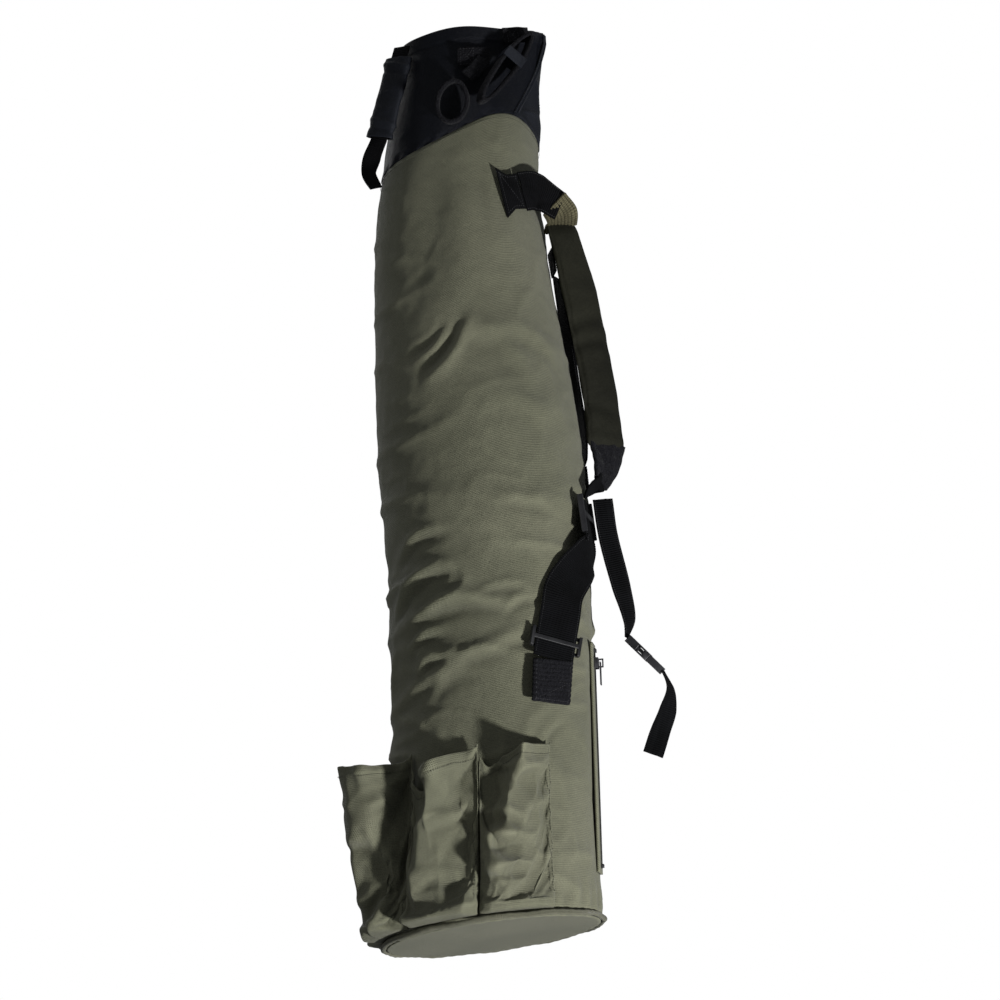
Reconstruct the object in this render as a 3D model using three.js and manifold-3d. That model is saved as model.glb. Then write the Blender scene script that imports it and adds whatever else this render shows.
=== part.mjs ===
// Rod and gear carry bag: a tall round fabric tube with a nylon collar, butt pockets,
// a side zip, a padded shoulder strap, a carry handle and a buckled tail strap.
// Millimetres, +Z up. The origin is the centre of the round base's lower face.
// The front, with the pockets, faces -Y. The shoulder strap hangs on the +X side.
import * as THREE from 'three';
import { mergeVertices } from 'three/addons/utils/BufferGeometryUtils.js';
import Module from 'manifold-3d';

const wasm = await Module();
wasm.setup();

// Driving dimensions
const baseRadius = 127.5;
const baseThickness = 2.5;
const boardThickness = 3.4;
const pipingRadius = 3.5;
const clothThickness = 2.5;
const collarThickness = 2.2;
const depthRatio = 0.96; // the tube is a little flatter front to back
const seamGap = 0.4; // between pieces that touch
const bodyBottom = 7.6;
const wideWebbing = 50;
const narrowWebbing = 25;
const webbingThickness = 1.8;
const padWidth = 62;
const padThickness = 14;
const pocketCount = 4;
const pocketStart = -57; // degrees about +Z from +X
const pocketSpan = 40;
const pocketFloor = 10;

// The tube's stations: height, centre offset along +X, half width
const stations = [
  [0, 0, 130],
  [40, 8, 126],
  [110, 15, 122.5],
  [220, 29, 122],
  [400, 48, 124],
  [530, 60, 125],
  [650, 65, 120],
  [780, 72, 112],
  [860, 76, 106],
  [930, 79, 97.5],
  [985, 91, 96.5],
  [1045, 112, 94],
  [1100, 125, 92],
  [1150, 134, 92],
];

const v = (x, y, z) => new THREE.Vector3(x, y, z);
const radians = THREE.MathUtils.degToRad;

// Cubic interpolation of one column of the stations at height z
function stationValue(z, column) {
  const last = stations.length - 1;
  let i = stations.findIndex((s) => s[0] > z) - 1;
  if (i < -1) i = last - 1;
  i = Math.max(0, Math.min(last - 1, i));
  const slope = (k) => {
    const low = stations[Math.max(0, k - 1)];
    const high = stations[Math.min(last, k + 1)];
    return (high[column] - low[column]) / (high[0] - low[0]);
  };
  const [a, b] = [stations[i], stations[i + 1]];
  const span = b[0] - a[0];
  const t = (z - a[0]) / span;
  const [t2, t3] = [t * t, t * t * t];
  return (
    (2 * t3 - 3 * t2 + 1) * a[column] +
    (t3 - 2 * t2 + t) * span * slope(i) +
    (3 * t2 - 2 * t3) * b[column] +
    (t3 - t2) * span * slope(i + 1)
  );
}

// A point on the tube at an angle about +Z and a height, moved outwards by offset
function onTube(degrees, z, offset = 0) {
  const halfWidth = stationValue(z, 2);
  const angle = radians(degrees);
  return v(
    stationValue(z, 1) + (halfWidth + offset) * Math.cos(angle),
    (halfWidth * depthRatio + offset) * Math.sin(angle),
    z,
  );
}

// The slanted seam between the tube and the collar, and the collar's open rim
const seamHeight = (degrees) => 961 + 13 * Math.cos(radians(degrees + 35));
const rimHeight = (degrees) => {
  const wave = 4 * Math.sin(radians(3 * degrees));
  return 1108 + 8 * Math.cos(radians(degrees + 20)) + wave;
};

// Joins rings of points into one closed solid. A loop joins the last ring to the first.
function loft(rings, loop = false) {
  const count = rings[0].length;
  const index = [];
  const steps = loop ? rings.length : rings.length - 1;
  for (let i = 0; i < steps; i++) {
    for (let j = 0; j < count; j++) {
      const a = i * count + j;
      const b = i * count + ((j + 1) % count);
      const c = ((i + 1) % rings.length) * count + j;
      const d = ((i + 1) % rings.length) * count + ((j + 1) % count);
      index.push(a, b, d, a, d, c);
    }
  }
  if (!loop) {
    const end = (rings.length - 1) * count;
    for (let i = 0; i < count / 2 - 1; i++) {
      const [a, b, c, d] = [i, i + 1, count - 2 - i, count - 1 - i];
      index.push(a, c, b, a, d, c);
      index.push(end + a, end + b, end + c, end + a, end + c, end + d);
    }
  }
  const geometry = new THREE.BufferGeometry().setFromPoints(rings.flat());
  geometry.setIndex(index);
  return facingOut(geometry);
}

// Turns the faces round if the solid is inside out
function facingOut(geometry) {
  const p = geometry.attributes.position;
  const index = geometry.index.array;
  const [a, b, c] = [v(), v(), v()];
  let volume = 0;
  for (let i = 0; i < index.length; i += 3) {
    a.fromBufferAttribute(p, index[i]);
    b.fromBufferAttribute(p, index[i + 1]);
    c.fromBufferAttribute(p, index[i + 2]);
    volume += a.dot(b.cross(c));
  }
  if (volume < 0) {
    const turned = Array.from(index).reverse();
    geometry.setIndex(turned);
  }
  return geometry;
}

// Geometry to manifold solid and back
function solid(geometry) {
  const plain = geometry.clone();
  plain.deleteAttribute('normal');
  plain.deleteAttribute('uv');
  const merged = mergeVertices(plain, 1e-4);
  return new wasm.Manifold(
    new wasm.Mesh({
      numProp: 3,
      vertProperties: new Float32Array(merged.attributes.position.array),
      triVerts: new Uint32Array(merged.index.array),
    }),
  );
}

function geometryOf(made) {
  const mesh = made.getMesh();
  const geometry = new THREE.BufferGeometry();
  geometry.setAttribute('position', new THREE.BufferAttribute(new Float32Array(mesh.vertProperties), 3));
  geometry.setIndex(new THREE.BufferAttribute(new Uint32Array(mesh.triVerts), 1));
  return geometry;
}

function box(width, depth, height, x = 0, y = 0, z = 0) {
  return new THREE.BoxGeometry(width, depth, height).translate(x, y, z);
}

function joined(first, ...others) {
  return geometryOf(others.reduce((made, next) => made.add(solid(next)), solid(first)));
}

function cut(first, ...others) {
  return geometryOf(others.reduce((made, next) => made.subtract(solid(next)), solid(first)));
}

// Scene helpers
const bag = new THREE.Group();
const finishes = {
  olive: [0x5a5b48, 0.72, 0],
  oliveDark: [0x3f4033, 0.75, 0],
  navy: [0x12151d, 0.6, 0],
  webbing: [0x131419, 0.85, 0],
  ribbed: [0x4d4a38, 0.85, 0],
  hook: [0x0d0e12, 0.95, 0],
  plastic: [0x1b1c1f, 0.42, 0],
  board: [0x26272a, 0.7, 0],
  foam: [0x77786e, 0.95, 0],
  metal: [0x35363a, 0.35, 0.8],
};

function part(name, geometry, finish) {
  const [color, roughness, metalness] = finishes[finish];
  const mesh = new THREE.Mesh(geometry, new THREE.MeshStandardMaterial({ color, roughness, metalness }));
  mesh.name = name;
  bag.add(mesh);
  return mesh;
}

// Places a piece whose own x is across, y is its thickness and z is along
function place(mesh, origin, across, along) {
  const z = along.clone().normalize();
  const x = across.clone().addScaledVector(z, -across.dot(z)).normalize();
  const y = new THREE.Vector3().crossVectors(z, x);
  mesh.quaternion.setFromRotationMatrix(new THREE.Matrix4().makeBasis(x, y, z));
  mesh.position.copy(origin);
}

// A flat strap through stations of [point, across direction, width]
function strap(line, thickness = webbingThickness, steps = 4) {
  const middle = new THREE.CatmullRomCurve3(line.map((s) => s[0]));
  const across = new THREE.CatmullRomCurve3(line.map((s) => s[1].clone().normalize()));
  const total = (line.length - 1) * steps;
  const rings = [];
  for (let i = 0; i <= total; i++) {
    const t = i / total;
    const k = Math.min(line.length - 2, Math.floor(t * (line.length - 1)));
    const width = THREE.MathUtils.lerp(line[k][2], line[k + 1][2], t * (line.length - 1) - k);
    const point = middle.getPoint(t);
    const tangent = middle.getTangent(t);
    const side = across.getPoint(t);
    side.addScaledVector(tangent, -side.dot(tangent)).normalize();
    const face = new THREE.Vector3().crossVectors(tangent, side);
    rings.push(
      [[-1, -1], [1, -1], [1, 1], [-1, 1]].map(([s, f]) =>
        point.clone().addScaledVector(side, (s * width) / 2).addScaledVector(face, (f * thickness) / 2),
      ),
    );
  }
  return loft(rings);
}

// An oval section round a point, used for the padded pieces
function oval(point, side, face, width, thickness, segments = 14) {
  const ring = [];
  for (let i = 0; i < segments; i++) {
    const angle = (2 * Math.PI * i) / segments;
    const [c, s] = [Math.cos(angle), Math.sin(angle)];
    const across = (Math.sign(c) * Math.abs(c) ** 0.7 * width) / 2;
    const out = (Math.sign(s) * Math.abs(s) ** 0.7 * thickness) / 2;
    ring.push(point.clone().addScaledVector(side, across).addScaledVector(face, out));
  }
  return ring;
}

// Rings of ovals along a padded piece's middle line
function ovalRings(line, across, width, thickness, from = 0, to = 1, steps = 10) {
  const middle = new THREE.CatmullRomCurve3(line);
  const rings = [];
  for (let i = 0; i <= steps; i++) {
    const t = from + ((to - from) * i) / steps;
    const tangent = middle.getTangent(t);
    const side = across.clone().addScaledVector(tangent, -across.dot(tangent)).normalize();
    const face = new THREE.Vector3().crossVectors(tangent, side);
    rings.push(oval(middle.getPoint(t), side, face, width, thickness));
  }
  return rings;
}

// A padded sleeve with a flat tunnel through it
function sleeve(line, across, outer, inner) {
  const outside = ovalRings(line, across, ...outer);
  const inside = ovalRings(line, across, ...inner).reverse();
  return loft([...outside, ...inside], true);
}

// A closed loop of tape: an ellipse in its own x and z, the tape's width along its own y
function tapeLoop(halfWidth, halfLength, tapeWidth, thickness = 2, segments = 24) {
  const rings = [];
  for (let i = 0; i < segments; i++) {
    const angle = (2 * Math.PI * i) / segments;
    const ring = [[0, -1], [thickness, -1], [thickness, 1], [0, 1]].map(([inset, side]) =>
      v(
        (halfWidth - inset) * Math.cos(angle),
        (side * tapeWidth) / 2,
        (halfLength - inset) * Math.sin(angle),
      ),
    );
    rings.push(ring);
  }
  return loft(rings, true);
}

// Part of the tube's wall between two angles, as its own panel
function wallPanel(fromAngle, toAngle, low, high, thickness, steps, levels, offset = 0) {
  const rings = [];
  for (let i = 0; i <= steps; i++) {
    const column = (level) => {
      const share = level / levels;
      const degrees = THREE.MathUtils.lerp(fromAngle(share), toAngle(share), i / steps);
      return [degrees, THREE.MathUtils.lerp(low(degrees), high(degrees), share)];
    };
    const ring = [];
    for (let level = 0; level <= levels; level++) ring.push(onTube(...column(level), offset));
    for (let level = levels; level >= 0; level--) ring.push(onTube(...column(level), offset - thickness));
    rings.push(ring);
  }
  return loft(rings);
}

// --- Tube and base ---
function mainBody() {
  const segments = 40;
  const levels = 15;
  const ringAt = (share, offset) => {
    const ring = [];
    for (let j = 0; j < segments; j++) {
      const degrees = (360 * j) / segments;
      const z = THREE.MathUtils.lerp(bodyBottom, seamHeight(degrees), share);
      ring.push(onTube(degrees, z, offset));
    }
    return ring;
  };
  const shares = Array.from({ length: levels + 1 }, (_, i) => i / levels);
  const outside = shares.map((share) => ringAt(share, 0));
  const inside = shares.map((share) => ringAt(share, -clothThickness)).reverse();
  return loft([...outside, ...inside], true);
}

part('main_body', mainBody(), 'olive');

function disc(radius, thickness, low) {
  const upright = new THREE.CylinderGeometry(radius, radius, thickness, 48).rotateX(Math.PI / 2);
  return upright.translate(0, 0, low + thickness / 2);
}

part('base_disc', disc(baseRadius, baseThickness, 0), 'olive');
part('base_board', disc(baseRadius - 4.5, boardThickness, baseThickness + seamGap), 'board');
const pipingRing = new THREE.TorusGeometry(baseRadius + pipingRadius + seamGap, pipingRadius, 8, 48);
part('base_piping', pipingRing.translate(0, 0, pipingRadius + 0.2), 'oliveDark');

// --- Collar: a front panel, a side panel and the tape over the seam between them ---
const seamAngle = (share) => THREE.MathUtils.lerp(-47, -14, share);
const backSeamAngle = 150;
const collarLow = (degrees) => seamHeight(degrees) + seamGap;
const halfGap = 0.2; // degrees

const collarPanel = (from, to, steps) => wallPanel(from, to, collarLow, rimHeight, collarThickness, steps, 5);
const wayRound = backSeamAngle - 360;
const frontPanel = collarPanel(() => wayRound + halfGap, (share) => seamAngle(share) - halfGap, 24);
part('collar_front_panel', frontPanel, 'navy');
const sidePanel = collarPanel((share) => seamAngle(share) + halfGap, () => backSeamAngle - halfGap, 18);
part('collar_side_panel', sidePanel, 'navy');
const tapeAngle = 2.4;
part(
  'collar_seam_tape',
  wallPanel(
    (s) => seamAngle(s) - tapeAngle,
    (s) => seamAngle(s) + tapeAngle,
    (degrees) => collarLow(degrees) + 2,
    (degrees) => rimHeight(degrees) - 2,
    1.2,
    3,
    5,
    1.6,
  ),
  'navy',
);

// --- Butt pockets round the foot: open buckets that stand off the tube ---
const pocketBulge = [30, 46, 58, 50]; // at the mouth, from the right-hand pocket round to the back
const pocketTop = (i) => 204 + 6.5 * i;

function pocketShape(i, inset, low, high) {
  const divisions = 10;
  const levels = 5;
  const start = pocketStart - pocketSpan * i - 0.5;
  const width = -(pocketSpan - 1);
  const edge = inset ? 0.07 : 0;
  const rings = [];
  for (let level = 0; level <= levels; level++) {
    const z = THREE.MathUtils.lerp(low, high, level / levels);
    const rise = Math.min(1, (z - pocketFloor) / (pocketTop(i) - pocketFloor));
    const bulge = pocketBulge[i] * (0.55 + 0.45 * rise);
    const across = (k) => start + width * (edge + (1 - 2 * edge) * (k / divisions));
    const ring = [];
    for (let k = 0; k <= divisions; k++) ring.push(onTube(across(k), z, 2.4 + inset));
    for (let k = divisions; k >= 0; k--) {
      const swell = Math.sin(Math.PI * (0.02 + 0.96 * (k / divisions))) ** 0.5;
      ring.push(onTube(across(k), z, 6 + bulge * swell - inset));
    }
    rings.push(ring);
  }
  return loft(rings);
}

for (let i = 0; i < pocketCount; i++) {
  const outside = pocketShape(i, 0, pocketFloor, pocketTop(i));
  const inside = pocketShape(i, 2.4, pocketFloor + 3, pocketTop(i) + 6);
  part('pocket_' + (i + 1), cut(outside, inside), 'olive');
}

// --- Side zip: tape, chain, end stops, slider and pull, on one straight line ---
const zipAngle = -8;
const zipLow = onTube(zipAngle, 55, 2.4);
const zipHigh = onTube(zipAngle, 330, 2.4);
const zipAlong = zipHigh.clone().sub(zipLow).normalize();
const zipAcross = v(-Math.sin(radians(zipAngle)), Math.cos(radians(zipAngle)), 0);
const zipOut = new THREE.Vector3().crossVectors(zipAcross, zipAlong);
const zipLength = zipHigh.distanceTo(zipLow);

function onZip(along, out) {
  return zipLow.clone().addScaledVector(zipAlong, along).addScaledVector(zipOut, out);
}

function zipPiece(name, geometry, finish, along, out) {
  place(part(name, geometry, finish), onZip(along, out), zipAcross, zipAlong);
}

zipPiece('zip_tape', box(26, 0.8, zipLength), 'webbing', zipLength / 2, 0);
zipPiece('zip_chain', box(5.6, 1.8, zipLength - 24), 'plastic', zipLength / 2, 1.7);
zipPiece('zip_bottom_stop', box(7, 2.4, 4), 'metal', 8.5, 2);
zipPiece('zip_top_stop', box(7, 2.4, 4), 'metal', zipLength - 8.5, 2);
const sliderAt = zipLength - 24;
const sliderShell = cut(box(10.4, 4.6, 13), box(6.6, 4, 14, 0, 1.6, 0));
// The bridge on the slider, and the pull whose top bar turns under it
const bridgeFeet = [-1, 1].map((side) => box(2.4, 5.2, 1.6, 0, -4.7, side * 4.6));
const bridgeBar = box(2.4, 1.6, 10.8, 0, -7.3, 0);
zipPiece('zip_slider', joined(sliderShell, ...bridgeFeet, bridgeBar), 'metal', sliderAt, 3.1);
const pullPlate = cut(box(7, 1.4, 28, 0, 0, -13.1), box(3.4, 3, 7.5, 0, 0, -4.65));
zipPiece('zip_pull', pullPlate, 'metal', sliderAt + 0.5, 7.4);

// --- Shoulder strap: upper end, ribbed section, padded sleeve and lower tab ---
const strapPivotTop = v(158, -73, 888);
const upward = v(0, 0, 1);
const padAcross = v(0.77, 0.64, 0).normalize();
const ribbedStart = v(195, -46, 877);
const padStart = v(201, -22, 847);
const padLine = [padStart, v(209, -17, 780), v(214.5, -13, 700), v(216.5, -11, 630), v(215.5, -12, 577)];
const tabEnd = v(203, -27, 527);
const pivotLow = v(183, -52, 508);

part('strap_anchor_patch', strap([
  [v(131, -90, 886), upward, 62],
  [v(143, -83.5, 887), upward, 62],
  [v(155.5, -75.5, 888), upward, 58],
]), 'webbing');

const boundaryAcross = v(0.8, 0.5, 0.33);
part('strap_top_webbing', strap([
  [strapPivotTop, upward, wideWebbing],
  [v(170, -65, 890), v(0.25, 0.12, 0.96), wideWebbing],
  [v(181, -54, 887), v(0.6, 0.35, 0.72), wideWebbing - 4],
  [ribbedStart, boundaryAcross, wideWebbing - 8],
]), 'webbing');

part('strap_ribbed_section', strap([
  [ribbedStart.clone().add(v(1.6, 2.6, -6)), boundaryAcross, wideWebbing - 8],
  [v(201, -34, 863), v(0.79, 0.6, 0.12), wideWebbing - 4],
  [padStart.clone().add(v(-1.4, -2.2, 10)), padAcross, wideWebbing - 5],
], 2.6), 'ribbed');

const padOuter = [padWidth, padThickness];
const padTunnel = [padWidth - 8, padThickness - 5];
part('pad_cover', sleeve(padLine, padAcross, padOuter, padTunnel), 'olive');
part('pad_foam', loft(ovalRings(padLine, padAcross, padWidth - 9.5, padThickness - 6.4, 0.02, 0.98)), 'foam');

const padEnd = padLine[padLine.length - 1];
const lowAcross = v(0.5, 0.86, 0);
const frameAcross = v(0.2, 0.98, 0);
part('pad_lower_tab', strap([
  [padEnd.clone().add(v(-0.5, -0.5, -7.5)), padAcross, 58],
  [v(212, -16, 552), v(0.68, 0.73, 0), 46],
  [tabEnd, lowAcross, 28],
], 5), 'oliveDark');
part('strap_lower_webbing', strap([
  [tabEnd.clone().add(v(-3.4, -4.2, -5.4)), lowAcross, 24],
  [v(192, -41, 516), v(0.3, 0.95, 0), 20],
  [pivotLow, frameAcross, 18],
], 4), 'webbing');

// --- Adjuster and the wide webbing below it ---
// A three-bar frame: the webbing runs straight between the middle bar and the outer two
function threeBar(width, length, bar) {
  const rail = 4;
  const half = width / 2;
  const end = length / 2 - bar / 2;
  const rails = [-1, 1].map((side) => box(rail, 7.2, length, side * (half - rail / 2), 0, 0));
  const back = [-1, 1].map((side) => box(width - 2, 2.2, bar, 0, 2.5, side * end));
  const front = box(width - 2, 2.2, bar + 1, 0, -2.5, 0);
  return joined(rails[0], rails[1], ...back, front);
}

const adjusterCentre = v(178, -51, 477);
const belowAdjuster = (drop) => adjusterCentre.clone().add(v(0, 0, -drop));
place(part('strap_adjuster', threeBar(60, 46, 6), 'plastic'), adjusterCentre, frameAcross, v(0, 0, 1));

const runAcross = v(0.93, 0.36, 0);
const runLow = v(113, -108, 301);
const runHigh = v(137, -97, 381);
const onRun = (share) => runLow.clone().lerp(runHigh, share);
part('strap_wide_webbing', strap([
  [belowAdjuster(-21), frameAcross, wideWebbing],
  [belowAdjuster(4), frameAcross, wideWebbing],
  [belowAdjuster(24), frameAcross, wideWebbing],
  [belowAdjuster(36), frameAcross, wideWebbing],
  [v(168, -68, 422), v(0.55, 0.84, 0), wideWebbing],
  [v(152, -86, 402), v(0.8, 0.6, 0), wideWebbing],
  [runHigh, runAcross, wideWebbing],
  [onRun(0.75), runAcross, wideWebbing],
  [onRun(0.5), runAcross, wideWebbing],
  [onRun(0.25), runAcross, wideWebbing],
  [runLow, runAcross, wideWebbing],
]), 'webbing');

place(
  part('lower_triglide', threeBar(63, 24, 4.4), 'plastic'),
  onRun(0.24),
  runAcross,
  runHigh.clone().sub(runLow),
);
const tabLow = v(103, -105, 249);
part('strap_anchor_tab', strap([
  [runLow.clone().add(v(-1, -0.2, -5)), runAcross, wideWebbing],
  [v(108, -106.5, 275), v(0.9, 0.42, 0), wideWebbing],
  [tabLow, v(0.88, 0.47, 0), wideWebbing],
], 4.2), 'webbing');

// --- Tail strap: narrow webbing, side-release buckle and free end ---
const tailPivot = v(200, -46, 498);
const buckleTop = v(207, -28, 328);
const buckleAlong = v(34, 2, -44).normalize();
const buckleAcross = v(0.12, 0.99, 0.12);
const tailFace = v(0.95, 0.3, 0);
part('tail_webbing', strap([
  [tailPivot, tailFace, narrowWebbing],
  [v(200, -45, 455), tailFace, narrowWebbing],
  [v(207, -36, 392), v(0.9, 0.4, 0), narrowWebbing],
  [v(211, -30, 352), v(0.6, 0.8, 0), narrowWebbing],
  [buckleTop.clone().addScaledVector(buckleAlong, -3), buckleAcross, narrowWebbing],
]), 'webbing');

const femaleLength = 34;
function buckleSocket() {
  const shell = box(34, 10, femaleLength, 0, 0, femaleLength / 2);
  const pocket = box(26.6, 5.6, 25, 0, 0, femaleLength - 12);
  const webbingSlot = box(27, 12, 3.4, 0, 0, 4.6);
  const releaseWindows = box(40, 5.6, 9, 0, 0, femaleLength - 13);
  return cut(shell, pocket, webbingSlot, releaseWindows);
}
place(part('buckle_socket', buckleSocket(), 'plastic'), buckleTop, buckleAcross, buckleAlong);

function bucklePlug() {
  const base = cut(box(33, 9, 21, 0, 0, 10.5), box(26, 12, 3.6, 0, 0, 8.5), box(26, 12, 3.6, 0, 0, 15.5));
  const prongs = [-1, 1].map((side) => box(5, 4.4, 21, side * 9.6, 0, -9.6));
  const guide = box(5, 4, 17, 0, 0, -7.6);
  return joined(base, prongs[0], prongs[1], guide);
}
const plugAt = buckleTop.clone().addScaledVector(buckleAlong, femaleLength + 0.6);
place(part('buckle_plug', bucklePlug(), 'plastic'), plugAt, buckleAcross, buckleAlong);

const tailEndTop = plugAt.clone().addScaledVector(buckleAlong, 22.2);
part('tail_end_webbing', strap([
  [tailEndTop, buckleAcross, narrowWebbing],
  [v(248, -25, 262), v(0.35, 0.93, 0), narrowWebbing],
  [v(242, -23, 238), v(0.8, 0.6, 0), narrowWebbing],
  [v(229, -22, 213), v(0.95, 0.3, 0.1), narrowWebbing],
  [v(216, -22, 186), v(0.93, 0.2, -0.28), narrowWebbing],
]), 'webbing');

// --- Carry handle behind the shoulder strap ---
const handleLow = onTube(10, 562, 4.4);
const handleHigh = onTube(10, 800, 4.4);
const tangentAt = (degrees) => v(-Math.sin(radians(degrees)), Math.cos(radians(degrees)), 0);
part('carry_handle', strap([
  [handleLow, tangentAt(10), narrowWebbing],
  [onTube(19, 600, 13), tangentAt(22), narrowWebbing],
  [onTube(31, 680, 26), tangentAt(34), narrowWebbing],
  [onTube(21, 762, 13), tangentAt(24), narrowWebbing],
  [handleHigh, tangentAt(10), narrowWebbing],
], 2.4), 'webbing');
const patchSizes = { width: 32, height: 30 };
for (const [name, z] of [['handle_patch_lower', 540], ['handle_patch_upper', 822]]) {
  part(name, strap([
    [onTube(10, z - patchSizes.height / 2, 2.6), tangentAt(10), patchSizes.width],
    [onTube(10, z + patchSizes.height / 2, 2.6), tangentAt(10), patchSizes.width],
  ], 2.2, 2), 'webbing');
}

// --- Rod straps on the collar's front ---
part('rod_patch_left', strap([
  [v(101, -94, 1064), upward, 24],
  [v(120, -94.6, 1062), upward, 24],
  [v(139, -92.5, 1060), upward, 24],
], 2.4, 2), 'hook');
part('rod_tab_left', strap([
  [v(133, -97, 1056), v(0.9, 0, -0.4), 18],
  [v(121, -101, 1043), v(0.8, 0, -0.6), 18],
  [v(109, -104, 1034), v(0.7, 0, -0.7), 18],
], 2), 'hook');
const loopLeft = part('rod_loop_left', tapeLoop(19, 26, 16), 'hook');
place(loopLeft, v(87, -109, 1002), v(1, 0, -0.35), v(0.3, -0.22, 0.9));

const rightAlong = v(73, 30, 90).normalize();
const rightAcross = v(0.62, 0.35, -0.6);
const rightMiddle = v(157, -98, 1040);
place(part('rod_loop_right', tapeLoop(11, 58, 16), 'hook'), rightMiddle, rightAcross, rightAlong);
const keeper = cut(box(28, 20.6, 15), box(24.4, 17.4, 18));
place(
  part('rod_keeper_right', keeper, 'navy'),
  rightMiddle.clone().addScaledVector(rightAlong, 16),
  rightAcross,
  rightAlong,
);
part('rod_patch_right', strap([
  [v(161, -88, 1086), upward, 20],
  [v(178, -80, 1088), upward, 20],
  [v(192, -71, 1089), upward, 20],
], 2, 2), 'hook');

// --- Side grab handle on the collar's left, with its cloth sleeve ---
const grabAcross = v(0.85, -0.52, 0).normalize();
const grabLine = [v(30, -46, 1090), v(22, -48, 1066), v(12, -48.5, 1040), v(2, -48, 1014), v(-7, -46, 991)];
part('grab_webbing', strap([
  [v(36, -44, 1106), grabAcross, narrowWebbing],
  ...grabLine.map((p) => [p, grabAcross, narrowWebbing]),
  [v(-19, -40, 970), grabAcross, narrowWebbing],
  [v(-26, -30, 953), v(0.6, -0.8, 0), narrowWebbing],
  [v(-21, -22, 940), v(0.45, -0.9, 0), narrowWebbing],
], 2, 3), 'webbing');
part('grab_sleeve', sleeve(grabLine, grabAcross, [40, 13], [29, 5.2]), 'navy');

export default bag;
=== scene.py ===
import math

import bmesh
import bpy
import numpy as np
from mathutils import Matrix, Vector
from mathutils.bvhtree import BVHTree


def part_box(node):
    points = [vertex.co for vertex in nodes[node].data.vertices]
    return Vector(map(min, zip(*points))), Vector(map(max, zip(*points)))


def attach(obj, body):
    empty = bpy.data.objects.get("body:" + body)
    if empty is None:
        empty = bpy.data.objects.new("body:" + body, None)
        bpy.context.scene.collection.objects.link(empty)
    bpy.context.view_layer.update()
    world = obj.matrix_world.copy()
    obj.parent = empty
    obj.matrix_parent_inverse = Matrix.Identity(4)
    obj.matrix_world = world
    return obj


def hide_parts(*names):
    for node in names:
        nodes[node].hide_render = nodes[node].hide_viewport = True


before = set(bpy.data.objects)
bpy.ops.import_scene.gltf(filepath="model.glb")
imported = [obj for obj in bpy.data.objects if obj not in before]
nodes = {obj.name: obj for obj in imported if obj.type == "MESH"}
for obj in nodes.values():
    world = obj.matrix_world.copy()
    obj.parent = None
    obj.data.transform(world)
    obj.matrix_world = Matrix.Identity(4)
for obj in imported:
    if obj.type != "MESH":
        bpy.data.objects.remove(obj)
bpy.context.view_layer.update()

# Rod and gear carry bag, standing on its round base. Metres, +Z up, the pockets face -Y.
scene = bpy.context.scene
print("frame loaded")


cameraSettings = {
    "place": (0.0, -4.5, -0.63),
    "turn": 1.002,  # degrees to the right of +Y
    "lift": 14.405,  # degrees up
    "roll": 8.0,  # tips the view, so the bag leans to the left
    "lens": 137.88,
}


def cameraAxes(settings):
    turn, lift, roll = (math.radians(settings[key]) for key in ("turn", "lift", "roll"))
    ahead = Vector((math.sin(turn) * math.cos(lift), math.cos(turn) * math.cos(lift), math.sin(lift)))
    level = ahead.cross(Vector((0, 0, 1))).normalized()
    up = level.cross(ahead)
    right = level * math.cos(roll) - up * math.sin(roll)
    return right, up * math.cos(roll) + level * math.sin(roll), ahead


def makeCamera(settings):
    right, up, ahead = cameraAxes(settings)
    data = bpy.data.cameras.new("Camera")
    data.lens = settings["lens"]
    camera = bpy.data.objects.new("Camera", data)
    turned = Matrix((right, up, -ahead)).transposed().to_4x4()
    camera.matrix_world = Matrix.Translation(settings["place"]) @ turned
    scene.collection.objects.link(camera)
    scene.camera = camera


makeCamera(cameraSettings)

lightSettings = {
    "middle": (0.03, 0.0, 0.55),
    # name: sideways, upwards and towards the camera, then distance, size and watts
    "key": ((0.72, -0.46, 0.80), 3.2, 0.30, 118),
    "fill": ((-0.9, 0.15, 0.9), 3.4, 2.2, 8),
    "top": ((0.1, 0.9, -0.35), 3.0, 2.4, 12),
    "back": ((-0.5, 0.3, -1.0), 3.4, 2.4, 14),
}


def makeLights(settings):
    right, up, ahead = cameraAxes(cameraSettings)
    middle = Vector(settings["middle"])
    for name in ("key", "fill", "top", "back"):
        (side, rise, near), distance, size, watts = settings[name]
        direction = (right * side + up * rise - ahead * near).normalized()
        data = bpy.data.lights.new(name, "AREA")
        data.shape = "DISK"
        data.size = size
        data.energy = watts
        light = bpy.data.objects.new(name, data)
        light.location = middle + direction * distance
        light.rotation_euler = direction.to_track_quat("Z", "Y").to_euler()
        scene.collection.objects.link(light)


makeLights(lightSettings)


def plug(tree, node, inputs):
    # links sockets and sets plain values
    for key, value in inputs.items():
        if isinstance(value, bpy.types.NodeSocket):
            tree.links.new(value, node.inputs[key])
        else:
            node.inputs[key].default_value = value


def addNode(tree, kind, inputs=None, **settings):
    node = tree.nodes.new(kind)
    for key, value in settings.items():
        setattr(node, key, value)
    plug(tree, node, inputs or {})
    return node


def maths(tree, operation, a, b=0.0):
    return addNode(tree, "ShaderNodeMath", {0: a, 1: b}, operation=operation).outputs[0]


def emptyMaterial(name):
    material = bpy.data.materials.new(name)
    material.use_nodes = True
    material.node_tree.nodes.clear()
    return material, material.node_tree


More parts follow.
